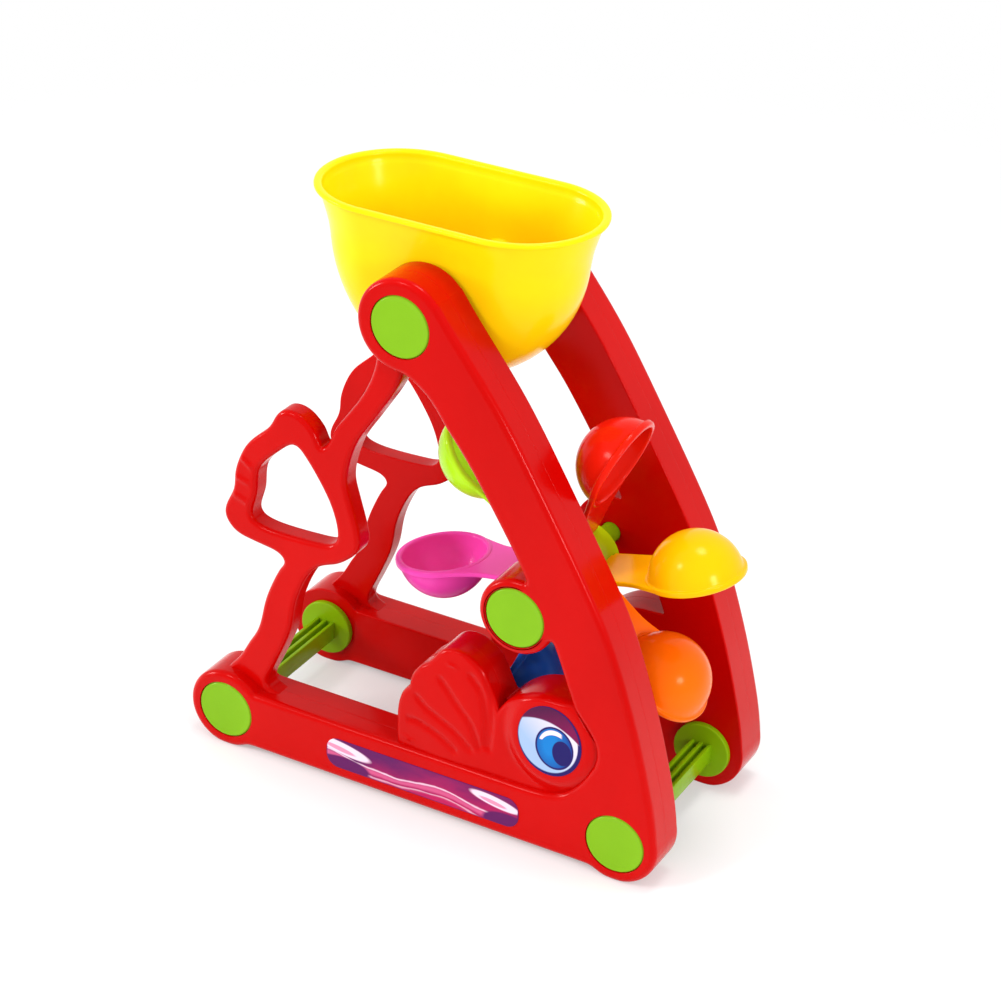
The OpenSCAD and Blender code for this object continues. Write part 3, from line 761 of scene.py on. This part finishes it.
def across(place, side):
    """Frame whose Z axis runs out of the toy along Y on one side, at a place in the side view."""
    return Matrix(((1, 0, 0, place.x), (0, 0, side, 0), (0, 1, 0, place.y), (0, 0, 0, 1)))


def node_place(node):
    """Middle of a CAD node in the side view."""
    low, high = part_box(node)
    return Vector(((low.x + high.x) / 2, (low.z + high.z) / 2))


def beam(bm, low, high, soft):
    """Bar with rounded edges between two corners."""
    made = bmesh.ops.create_cube(bm, size=1)["verts"]
    for vert in made:
        vert.co = Vector(low[k] + (vert.co[k] + 0.5) * (high[k] - low[k]) for k in range(3))
    edges = [edge for edge in bm.edges if edge.verts[0] in made]
    bmesh.ops.bevel(bm, geom=edges, offset=soft, segments=3, profile=0.5, affect="EDGES")


def linked(name, data):
    """New object of the scene."""
    made = bpy.data.objects.new(name, data)
    bpy.context.scene.collection.objects.link(made)
    return made


def finished(name, bm, body, slot, *nodes, sharp=40):
    """Turns the mesh into a piece that rides on a body and stands for CAD nodes."""
    bmesh.ops.remove_doubles(bm, verts=bm.verts, dist=1e-6)
    bmesh.ops.recalc_face_normals(bm, faces=bm.faces)
    mesh = bpy.data.meshes.new(name)
    bm.to_mesh(mesh)
    bm.free()
    mesh.shade_smooth()
    mesh.set_sharp_from_angle(angle=math.radians(sharp))
    mesh.materials.append(bpy.data.materials[slot])
    piece = linked(name, mesh)
    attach(piece, body)
    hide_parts(*nodes)


def side_view(side):
    """Places points of the side view at a depth on one side of the toy."""
    return lambda p, depth: Vector((p.x, side * depth, p.y))


def side_name(side):
    return "front" if side == FRONT else "back"


def line_distance(point, line):
    """Distance of a point from a line through several points, and how far along it lies."""
    best = (1, 0)
    for i, (a, b) in enumerate(zip(line, line[1:])):
        near, share = intersect_point_line(point, a, b)
        near = a if share < 0 else b if share > 1 else Vector(near[:2])
        along = (i + min(max(share, 0), 1)) / (len(line) - 1)
        best = min(best, ((point - near).length, along))
    return best


def hill(distance, width):
    return math.exp(-(distance / width) ** 2)


def smooth_step(low, high, value):
    t = min(max((value - low) / (high - low), 0), 1)
    return t * t * (3 - 2 * t)


class SANDWHEEL_OT_finishes(bpy.types.Operator):
    """Make the plastic finishes and the printed ones, each named after its slot"""
    bl_idname = "sandwheel.finishes"
    bl_label = "Finishes"

    def execute(self, context):
        plastic = context.scene.sandwheel_plastic
        colours = {
            "red_plastic": plastic.frame_red, "green_plastic": plastic.bar_green,
            "lime_plastic": plastic.cap_green, "hub_plastic": plastic.hub_green,
            "magenta_plastic": plastic.magenta, "lime_scoop_plastic": plastic.lime,
            "red_scoop_plastic": plastic.scoop_red, "yellow_plastic": plastic.hopper_yellow,
            "orange_plastic": plastic.orange, "blue_plastic": plastic.blue}
        for name, colour in colours.items():
            # Only the yellow plastic gets the painted shade low down
            painted_shade = plastic.painted_shade_yellow if name == "yellow_plastic" else None
            moulded_plastic(name, colour, plastic.roughness, plastic.gloss, painted_shade)
        self.eye(context.scene.sandwheel_print)
        self.label(context.scene.sandwheel_print)
        return {"FINISHED"}

    def eye(self, look):
        """Printed eye: outline, lid, eyeball, iris with a pale arc, and pupil."""
        finish = Finish("eye_print")
        x, y, z = finish.parts(finish.place())
        middle = spot(EYE_SHARE)
        u = (x - middle.x) / look.eye_half_width
        v = (z - middle.y) / look.eye_half_height
        ball = finish.mix((0.42 + 0.50 * u + 0.62 * v).held(), look.white_shade, look.white)
        glow = disc(u, v, (0.03, -0.10), (0.44, 0.60), 1.1)
        arc = (disc(u, v, (0.165, -0.165), (0.50, 0.525), 0.04)
            * (1 - disc(u, v, (0.185, -0.23), (0.47, 0.46), 0.04))
            * ((v + 0.02) * 30).held() * ((0.40 - u) * 14).held())
        lid_edge = ((v - 0.555 + 0.30 * (u + 0.08) * (u + 0.08) + 0.10 * u) * 26 + 0.5).held()
        lid = finish.mix((0.62 + 0.5 * u - 1.4 * (v - 0.5)).held(), look.lid, look.lid_bright)
        colour = finish.printed(ball,
            (disc(u, v, (0.165, -0.155), (0.60, 0.62), 0.03), look.outline),
            (disc(u, v, (0.165, -0.155), (0.545, 0.565), 0.04),
                finish.mix(glow, look.iris_shade, look.iris)),
            (disc(u, v, (0.40, -0.24), (0.30, 0.36), 0.05), look.pupil),
            (arc, (0.98, 0.86, 0.87)),
            (lid_edge, lid))
        rim = disc(u, v, (-0.03, 0.015), (0.965, 0.965), 0.02)
        inner = disc(u, v, (-0.045, 0.02), (0.93, 0.93), 0.03)
        self.film(finish, finish.mix(inner.most(lid_edge * rim), look.outline, colour))

    def label(self, look):
        """Printed label: a purple and magenta ground with pink waves, pale swirls and dark ends."""
        finish = Finish("label_print")
        x, y, z = finish.parts(finish.place())
        middle = spot(LABEL_SHARE)
        u = (x - middle.x) / (look.label_length / 2)
        v = (z - middle.y) / (look.label_height / 2)
        streaks = finish.noise(finish.spread(finish.place(), (1, 1, 3)), 60, 3.0)
        ground = (0.55 - 0.35 * v + (streaks - 0.5) * 0.9 - (u - 0.35) * (u - 0.35) * 0.5).held()
        colour = finish.mix(ground, look.band_purple, look.band_deep)
        wave = (u * 5.2 + 0.6).wave() * 0.20 - u * 0.12
        ripple = wave + (streaks - 0.5) * 0.5
        for low, high, share in ((-0.62, -0.20, 0.9), (-0.92, -0.74, 0.55)):
            band = ((v - ripple - low) * 7).held() * ((ripple + high - v) * 7).held()
            crest = (1 - ((v - ripple - high).size() * 12)).held()
            colour = finish.printed(colour, (band * share, look.band_pink),
                (crest * share, look.band_pale))
        for centre, radius in (((-0.84, 0.46), (0.30, 0.40)), ((0.76, 0.42), (0.25, 0.34))):
            tilted = v + (u - centre[0]) * 0.9
            eye = disc(u, tilted, (centre[0] - 0.02, centre[1] - 0.10),
                (radius[0] * 0.55, radius[1] * 0.4), 0.3)
            colour = finish.printed(colour, (disc(u, tilted, centre, radius, 0.2), look.band_pale),
                (eye * 0.7, look.band_pink))
        edge = v.size() - 0.95
        side = (u.size() - 0.991) * (look.label_length / look.label_height)
        self.film(finish, finish.printed(colour,
            (disc(u, v, (-0.80, -0.75), (0.26, 0.62), 0.15), look.band_purple),
            (disc(u, v, (0.90, -0.80), (0.26, 0.66), 0.15), look.band_purple),
            ((edge.most(side) * 30 + 0.5).held(), look.band_purple)))

    def film(self, finish, colour):
        finish.surface(Base_Color=colour, Roughness=0.25, Specular_IOR_Level=0.15, IOR=1.5)


class SANDWHEEL_OT_stage(bpy.types.Operator):
    """Set the camera, the lamps and a pale floor"""
    bl_idname = "sandwheel.stage"
    bl_label = "Stage"

    def execute(self, context):
        stage = context.scene.sandwheel_stage
        self.camera(context, stage)
        self.floor(stage)
        self.sky(context, stage)
        for name, (place, target, width) in LAMPS.items():
            self.lamp(f"{name}_lamp", place, target, width, getattr(stage, name))
        context.scene.view_settings.view_transform = "Standard"
        return {"FINISHED"}

    def camera(self, context, stage):
        azimuth, elevation, roll = (math.radians(angle) for angle in (AZIMUTH, ELEVATION, ROLL))
        back = Vector((math.sin(azimuth) * math.cos(elevation),
            -math.cos(azimuth) * math.cos(elevation), math.sin(elevation)))
        right = (-back).cross(Vector((0, 0, 1))).normalized()
        up = right.cross(-back)
        tilted = right * math.cos(roll) + up * math.sin(roll)
        upright = up * math.cos(roll) - right * math.sin(roll)
        data = bpy.data.cameras.new("camera")
        data.sensor_fit = "HORIZONTAL"
        data.sensor_width = 36
        data.lens = stage.lens * 1000
        data.clip_start = 0.05
        data.clip_end = 20
        camera = linked("camera", data)
        camera.matrix_world = Matrix((tilted, upright, back)).transposed().to_4x4()
        camera.location = TARGET + back * DISTANCE
        context.scene.camera = camera

    def floor(self, stage):
        """White floor that fades out, a little whiter to the camera than it is."""
        bm = bmesh.new()
        bmesh.ops.create_circle(bm, cap_ends=True, radius=2.4, segments=96)
        mesh = bpy.data.meshes.new("floor")
        bm.to_mesh(mesh)
        bm.free()
        floor = linked("floor", mesh)
        finish = Finish("floor_paint")
        x, y, z = finish.parts(finish.place())
        start, width = 0.28, 0.5  # of the ring in which the floor fades out
        fade = (((x * x + y * y).root() - start) * (1 / width)).held()
        grain = finish.noise(finish.place(), 60, 3.0)
        paint = finish.mix(grain, [stage.floor_grey] * 3, [stage.floor_grey * 0.992] * 3)
        body = finish.wire("ShaderNodeBsdfPrincipled", "BSDF", {},
            {"Base Color": paint, "Roughness": 0.7, "Specular IOR Level": 0.2})
        white = finish.wire("ShaderNodeEmission", 0, {}, {"Color": (1, 1, 1, 1), "Strength": 1})
        seen = finish.wire("ShaderNodeLightPath", "Is Camera Ray")
        body = finish.wire("ShaderNodeMixShader", 0, {}, {0: seen * 0.35, 1: body, 2: white})
        clear = finish.wire("ShaderNodeBsdfTransparent", "BSDF")
        mixed = finish.wire("ShaderNodeMixShader", 0, {}, {0: fade, 1: body, 2: clear})
        finish.node("ShaderNodeOutputMaterial", {}, {"Surface": mixed})
        mesh.materials.append(finish.material)

    def sky(self, context, stage):
        """Even light from all round, which the camera sees as white."""
        context.scene.world = bpy.data.worlds.new("sky")
        finish = Finish("sky", context.scene.world)
        light, white = (finish.wire("ShaderNodeBackground", 0, {},
            {"Color": (1, 1, 1, 1), "Strength": strength}) for strength in (stage.sky, 1))
        seen = finish.wire("ShaderNodeLightPath", "Is Camera Ray")
        mixed = finish.wire("ShaderNodeMixShader", 0, {}, {0: seen, 1: light, 2: white})
        finish.node("ShaderNodeOutputWorld", {}, {"Surface": mixed})

    def lamp(self, name, place, target, width, power):
        data = bpy.data.lights.new(name, "AREA")
        data.shape = "DISK"
        data.size = width
        data.energy = power
        lamp = linked(name, data)
        lamp.location = place
        lamp.rotation_euler = (Vector(target) - Vector(place)).to_track_quat("-Z", "Y").to_euler()


class SANDWHEEL_OT_frames(bpy.types.Operator):
    """Build the half shells, struts, fins and heads of both side frames"""
    bl_idname = "sandwheel.frames"
    bl_label = "Side frames"

    def execute(self, context):
        look = context.scene.sandwheel_frame
        shell = [refined(loop) for loop in with_holes(cad_outlines("front_outer_half", -FACE_Y))]
        lining = [refined(loop) for loop in with_holes(cad_outlines("front_inner_half", -INNER_Y))]
        corner_rounds, strut_rounds, chin_rounds = 44, 10, 260
        chin = spot(CHIN_SHARE), CHIN_RADIUS, chin_rounds
        shell[0] = eased(shell[0], corner_rounds, soft=chin)
        lining[0] = eased(lining[0], corner_rounds)
        strut = eased(anticlockwise(unrepeated(self.runs(STRUT_SHARES))), strut_rounds)
        hole = anticlockwise(ring_curve(spots(TAIL_HOLE_SHARES)))[::-1]
        relief = anticlockwise(unrepeated(self.runs((FIN_SHARES, FIN_TOP_SHARES, HEAD_SHARES))
            + spots(RELIEF_BASE_SHARES)))
        self.look = look
        self.ridges = [spots(shares) for shares in TAIL_RIDGE_SHARES]
        self.grooves = [curve(spots(shares), 4) for shares in FIN_GROOVE_SHARES]
        self.tips = [curve(spots(shares), 4) for shares in FIN_TIP_SHARES]
        half = look.strut_depth / 2
        slabs = {
            "shell": (("outer",), (shell, PARTING_Y, FACE_Y, look.seam, look.edge_radius),
                {"bore": look.bore_radius, "steps": 6}),
            "lining": (("inner",), (lining, PARTING_Y, INNER_Y, look.seam, look.inner_edge_radius),
                {"steps": 3}),
            "strut": (("outer", "inner"), ([strut, hole], PARTING_Y - half, PARTING_Y + half,
                look.inner_edge_radius, look.strut_radius),
                {"relief": self.tail, "pitch": look.grid * 1.2, "steps": 6}),
            "fin_and_head": (("outer",), ([relief], PARTING_Y, FACE_Y - look.relief_step,
                look.seam, look.relief_radius),
                {"relief": self.fin, "pitch": look.grid, "steps": 6})}
        for side in (FRONT, BACK):
            for name, (halves, shape, options) in slabs.items():
                bm = bmesh.new()
                slab(bm, *shape, side_view(side), **options)
                finished(f"{side_name(side)}_{name}", bm, "frame", "red_plastic",
                    *(f"{side_name(side)}_{half_shell}_half" for half_shell in halves))
        return {"FINISHED"}

    def runs(self, lines):
        """One outline of smooth runs that meet in corners."""
        return sum((curve(spots(shares)) for shares in lines), [])

    def tail(self, point):
        """Height of the ridges across the tail loop."""
        height = 0
        for ridge in self.ridges:
            distance, along = line_distance(point, ridge)
            height += (self.look.ridge_height * hill(distance, RIDGE_WIDTH)
                * smooth_step(0, 0.25, min(along, 1 - along) + 0.02))
        return height

    def fin(self, point):
        """Height of the grooved fin and of the pad that carries the eye."""
        look = self.look
        away = self.share_out(point, FIN_MIDDLE_SHARE, CROWN_HALF)
        height = look.fin_crown * (1 - smooth_step(*CROWN_FADE, away))
        for groove in self.grooves:
            distance, along = line_distance(point, groove)
            height -= (look.groove_depth * hill(distance, look.groove_width)
                * smooth_step(0, 0.12, along))
        for tip in self.tips:
            distance, along = line_distance(point, tip)
            height += look.tip_height * hill(distance, TIP_WIDTH)
        pad = 1 - smooth_step(*PAD_FADE, self.share_out(point, EYE_SHARE, EYE_HALF))
        return height * (1 - pad) + look.relief_step * pad

    def share_out(self, point, share, half):
        """How far out in an ellipse a point lies: 1 is on its rim."""
        away = point - spot(share)
        return Vector((away.x / half[0], away.y / half[1])).length


class SANDWHEEL_OT_caps(bpy.types.Operator):
    """Build the round caps, the hopper's pins and the cross bars"""
    bl_idname = "sandwheel.caps"
    bl_label = "Caps and cross bars"

    def execute(self, context):
        look = context.scene.sandwheel_cap
        for side in (FRONT, BACK):
            name = side_name(side)
            for node in ("left_cap", "right_cap", "axle_cap"):
                self.cap(look, side, f"{name}_{node}_disc", f"{name}_{node}", STEM, STEM_END)
            self.cap(look, side, f"{name}_hopper_pivot", f"{name}_hopper_pin", PIN, PIN_END)
        for node in ("left_cross_bar", "right_cross_bar"):
            self.cross_bar(look, node)
        return {"FINISHED"}

    def cap(self, look, side, piece, node, stem, end):
        """Cap with a rounded edge, a shallow dish and a stem behind it."""
        seat = FACE_Y - look.height
        dish, brow, proud = 0.0002, 0.0022, 0.00005  # its depth, and its rim's width and height
        bm = bmesh.new()
        turned(bm, rounded([
            (0, FACE_Y - dish, 0), (look.radius - brow, FACE_Y - 0.75 * dish, 0.004),
            (look.radius - look.bevel, FACE_Y + proud, 0.0004),
            (look.radius, FACE_Y - look.bevel, 0.0003), (look.radius, seat, 0.0002),
            (stem, seat, 0.0003), (stem, end, 0.0004), (0, end, 0)]),
            across(node_place(node), side), 96)
        finished(piece, bm, "frame", "lime_plastic", node)

    def cross_bar(self, look, node):
        """Three upright ribs and a web between two flanges with spigots."""
        middle = node_place(node)
        bm = bmesh.new()
        span = INNER_Y - look.flange_height / 2
        for rib in (-1, 0, 1):
            x = middle.x + rib * look.rib_pitch
            beam(bm, (x - look.rib_thickness / 2, -span, middle.y - look.rib_height / 2),
                (x + look.rib_thickness / 2, span, middle.y + look.rib_height / 2), 0.00035)
        beam(bm, (middle.x - look.rib_pitch, -span, middle.y - look.rib_thickness / 2),
            (middle.x + look.rib_pitch, span, middle.y + look.rib_thickness / 2), 0.0003)
        gap = 0.0001  # between a spigot and the cap before it
        start, end = INNER_Y - look.flange_height, FACE_Y - look.height - gap
        for side in (FRONT, BACK):
            turned(bm, rounded([(0, start, 0), (look.flange_radius, start, 0.0006),
                (look.flange_radius, INNER_Y, 0.0003), (SPIGOT, INNER_Y, 0.0002),
                (SPIGOT, end, 0.0003), (0, end, 0)]), across(middle, side), 72)
        finished(f"{node}_ribs", bm, "frame", "green_plastic", node)


class SANDWHEEL_OT_wheel(bpy.types.Operator):
    """Build the hub and the six scoops of the wheel"""
    bl_idname = "sandwheel.wheel"
    bl_label = "Wheel"

    def execute(self, context):
        look = context.scene.sandwheel_wheel
        axle = node_place("wheel_axle")
        middle_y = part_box("hub_front_half")[1].y
        parting, along = 0.00006, 0.001  # half the line between the halves, a point of the bore
        for side in (FRONT, BACK):
            end = abs(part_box(f"hub_{side_name(side)}_half")[0 if side == FRONT else 1].y - middle_y)
            bm = bmesh.new()
            half = look.hub_width / 2
            turned(bm, rounded([(HUB_BORE, parting, 0), (look.hub_radius, parting, 0.0003),
                (look.hub_radius, half, 0.0012), (look.neck_radius, half, 0.0014),
                (look.neck_radius, end, 0.0006), (HUB_BORE, end, 0.0003), (HUB_BORE, along, 0)]),
                Matrix.Translation((0, middle_y, 0)) @ across(axle, side), 96, closed=True)
            name = f"hub_{side_name(side)}"
            finished(f"{name}_shell", bm, "wheel", "hub_plastic", f"{name}_half")
        for colour in SCOOP_ANGLES:
            slot = f"{colour}_scoop_plastic" if colour in ("red", "lime") else f"{colour}_plastic"
            self.scoop(look, Vector((axle.x, middle_y, axle.y)), colour, slot)
        return {"FINISHED"}

    def scoop(self, look, centre, colour, slot):
        angle = math.radians(SCOOP_ANGLES[colour])
        along = Vector((math.cos(angle), 0, math.sin(angle)))
        out = Vector((-math.sin(angle), 0, math.cos(angle)))
        base = Matrix((along, Vector((0, 1, 0)), out)).transposed().to_4x4()
        base.translation = centre
        bm = bmesh.new()
        outer, inner = look.bowl_radius, look.bowl_radius - look.bowl_wall
        rise, sink = look.lip_height + 0.0012, 0.0022  # where the domes meet the lip
        low, high = math.asin(rise / outer), math.asin(sink / inner)
        profile = self.dome(outer, math.pi / 2, low)[:-1]
        profile += rounded([
            (outer * math.cos(low), rise, 0), (outer - 0.0001, look.lip_height, 0.0008),
            (look.lip_radius, look.lip_height, 0.0009), (look.lip_radius, 0, 0.0011),
            (inner, 0, 0.0009), (inner * math.cos(high), inner * math.sin(high), 0)], 5)
        profile += self.dome(inner, high, math.pi / 2)[1:]
        turned(bm, profile, base @ Matrix.Translation((look.reach, 0, 0)), 96)
        slab(bm, [self.handle(look)], look.handle_thickness, 0.0003, 0.0006, 0.0006,
            lambda p, depth: base @ Vector((p.x, p.y, depth)), steps=4)
        finished(f"{colour}_ladle", bm, "wheel", slot, f"{colour}_scoop")

    def dome(self, radius, start, end):
        """Arc of a dome's profile between two angles, closed exactly at its top."""
        turns = [start + (end - start) * k / 20 for k in range(21)]
        return [Vector((radius * math.cos(t), radius * math.sin(t))) if t < math.pi / 2 - 1e-6
            else Vector((0, radius)) for t in turns]

    def handle(self, look):
        """Outline of the flat handle, which widens into the bowl's lip."""
        wide, tongue = look.handle_width / 2, look.tongue_width / 2
        shoulder = look.hub_radius + 0.0001
        root = 0.0081  # the tongue's end in the hub
        side = [Vector((root, tongue)), Vector((shoulder, tongue)),
            Vector((shoulder, wide - 0.0005)), Vector((shoulder + 0.0005, wide))]
        turn = math.radians(66)  # round the bowl, to where the handle's edge meets the lip
        flare = [Vector((0.022, wide)), Vector((0.030, wide)), Vector((0.036, wide + 0.0011)),
            Vector((look.reach - look.lip_radius * math.cos(turn),
                look.lip_radius * math.sin(turn) - 0.0002))]
        side += curve(flare, 5)
        rest = look.bowl_radius - look.bowl_wall / 2
        arc = [Vector((look.reach - rest * math.cos(turn * k / 16), rest * math.sin(turn * k / 16)))
            for k in range(16, -17, -1)]
        return anticlockwise(side + arc + [Vector((p.x, -p.y)) for p in reversed(side)])


class SANDWHEEL_OT_hopper(bpy.types.Operator):
    """Build the hopper with its rolled rim, its outlet and its two sockets"""
    bl_idname = "sandwheel.hopper"
    bl_label = "Hopper"

    def execute(self, context):
        look = context.scene.sandwheel_hopper
        low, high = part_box("hopper")
        self.look = look
        self.belly_z = high.z - BELLY_DROP
        self.flare_z = high.z - FLARE_DROP
        self.keel_z = self.belly_z - look.belly_radius + look.keel_radius
        self.middle_x = (low.x + high.x) / 2
        floor, bottom, top = low.z, low.z + look.wall, high.z + RIM_PROUD
        lip_z = top - look.rim
        rings = [self.ring(z, 0) for z in self.levels(floor, 0, lip_z - 0.0008)]
        base = self.ring(lip_z, 0)
        for out, z in rounded([(0, lip_z - 0.0009, 0), (0.0002, lip_z, 0.0006),
                (look.lip, lip_z, 0.0006), (look.lip, top, 0.0012), (-look.wall, top, 0.0015),
                (-look.wall, lip_z - 0.001, 0)], 6):
            rings.append((z, base[1] + out, base[2] + out))
        rings += [self.ring(z, look.wall)
            for z in reversed(self.levels(bottom, look.wall, lip_z - 0.002))]
        soft = 0.0004  # rounding of the outlet's edges
        rings += [(z, look.outlet + out, look.outlet + out) for z, out in
            ((bottom, soft), (bottom - soft, 0), (floor + soft, 0), (floor, soft))]
        bm = bmesh.new()
        rows = [[bm.verts.new(p) for p in self.points(ring)] for ring in rings]
        for one, two in zip(rows, rows[1:] + rows[:1]):
            for k in range(len(one)):
                bm.faces.new((one[k - 1], one[k], two[k], two[k - 1]))
        end, seat = INNER_Y - 0.0005, PIN_END - 0.0005
        for side in (FRONT, BACK):
            turned(bm, rounded([(0, SOCKET_START, 0), (SOCKET, SOCKET_START, 0.001),
                (SOCKET, end, 0.0004), (PIN + 0.0002, end, 0.0003), (PIN + 0.0002, seat, 0.0003),
                (0, seat, 0)]), across(node_place("front_hopper_pin"), side), 72)
        finished("hopper_bin", bm, "hopper", "yellow_plastic", "hopper", sharp=32)
        return {"FINISHED"}

    def levels(self, floor, inset_by, top):
        """Heights of the rings, close together low on the belly."""
        radius = self.look.belly_radius - inset_by
        start = math.acos(min((self.belly_z - floor) / radius, 1))
        turns = [start + (math.pi / 2 - start) * k / 30 for k in range(30)]
        return [self.belly_z - radius * math.cos(t) for t in turns] + [
            self.belly_z + (top - self.belly_z) * k / 12 for k in range(13)]

    def half_length(self, z, by):
        radius = self.look.belly_radius - by
        if z > self.belly_z:
            return radius + END_DRAFT * (z - self.belly_z)
        return math.sqrt(max(radius ** 2 - (self.belly_z - z) ** 2, 0))

    def half_width(self, z, by):
        look = self.look
        if z > self.flare_z:
            return look.side - by + look.flare * (z - self.flare_z) / FLARE_RISE
        half = look.side - by - SIDE_DRAFT * (self.flare_z - z)
        if z < self.keel_z:
            radius = look.keel_radius - by
            half -= radius - math.sqrt(max(radius ** 2 - (self.keel_z - z) ** 2, 0))
        return half

    def ring(self, z, by):
        """Height, half length and half width, with the bend under the flare eased."""
        if z < self.belly_z - 0.007:
            return z, self.half_length(z, by), self.half_width(z, by)
        near = [z + 0.001 * k for k in range(-5, 6)]
        ends = [self.half_length(self.belly_z + max(h - self.belly_z, 0), by) for h in near]
        length = (sum(ends) / len(near) + self.half_length(min(z, self.belly_z), by)
            - self.half_length(self.belly_z, by))
        return z, length, sum(self.half_width(h, by) for h in near) / len(near)

    def points(self, ring):
        """Points round a level ring with rounded ends."""
        z, length, width = ring
        box = rounded_box(self.look.rings, min(length, width), length, width)
        return [Vector((self.middle_x + p.x, p.y, z)) for p in box]


class SANDWHEEL_OT_stickers(bpy.types.Operator):
    """Build the eye stickers and the labels on both sides"""
    bl_idname = "sandwheel.stickers"
    bl_label = "Stickers"

    def execute(self, context):
        look = context.scene.sandwheel_print
        eye = [Vector((look.eye_half_width * math.cos(t), look.eye_half_height * math.sin(t)))
            for t in (2 * math.pi * k / 72 for k in range(72))]
        label = rounded_box(36, look.label_height * 0.42, look.label_length / 2,
            look.label_height / 2)
        prints = (("eye_sticker", EYE_SHARE, eye, "eye_print"),
            ("label", LABEL_SHARE, label, "label_print"))
        for side in (FRONT, BACK):
            for name, share, outline, slot in prints:
                bm = bmesh.new()
                slab(bm, [[spot(share) + p for p in outline]], FACE_Y, FACE_Y + look.thickness,
                    0.00002, 0.00008, side_view(side), steps=2)
                node = f"{side_name(side)}_{name}"
                finished(f"{node}_film", bm, "frame", slot, node)
        return {"FINISHED"}


class SANDWHEEL_PT_panel(bpy.types.Panel):
    """List the pieces to build and their settings"""
    bl_idname = "SANDWHEEL_PT_panel"
    bl_label = "Sand Wheel"
    bl_space_type = "VIEW_3D"
    bl_region_type = "UI"
    bl_category = "Sand Wheel"

    def draw(self, context):
        for operator in OPERATORS:
            self.layout.operator(operator.bl_idname)
        for name in SETTINGS:
            group = getattr(context.scene, name)
            box = self.layout.box()
            for setting in group.__annotations__:
                box.prop(group, setting)


SETTINGS = {"sandwheel_frame": FrameSettings, "sandwheel_plastic": PlasticSettings,
    "sandwheel_cap": CapSettings, "sandwheel_wheel": WheelSettings,
    "sandwheel_hopper": HopperSettings, "sandwheel_print": PrintSettings,
    "sandwheel_stage": StageSettings}
OPERATORS = (SANDWHEEL_OT_finishes, SANDWHEEL_OT_stage, SANDWHEEL_OT_frames, SANDWHEEL_OT_caps,
    SANDWHEEL_OT_wheel, SANDWHEEL_OT_hopper, SANDWHEEL_OT_stickers)


def register():
    for group in SETTINGS.values():
        bpy.utils.register_class(group)
    for name, group in SETTINGS.items():
        setattr(bpy.types.Scene, name, PointerProperty(type=group))
    for operator in OPERATORS:
        bpy.utils.register_class(operator)
    bpy.utils.register_class(SANDWHEEL_PT_panel)


def unregister():
    bpy.utils.unregister_class(SANDWHEEL_PT_panel)
    for operator in reversed(OPERATORS):
        bpy.utils.unregister_class(operator)
    for name, group in SETTINGS.items():
        delattr(bpy.types.Scene, name)
        bpy.utils.unregister_class(group)


def main():
    register()
    bpy.ops.sandwheel.finishes()
    bpy.ops.sandwheel.stage()
    bpy.ops.sandwheel.frames()
    bpy.ops.sandwheel.caps()
    bpy.ops.sandwheel.wheel()
    bpy.ops.sandwheel.hopper()
    bpy.ops.sandwheel.stickers()


if __name__ == "__main__":
    main()
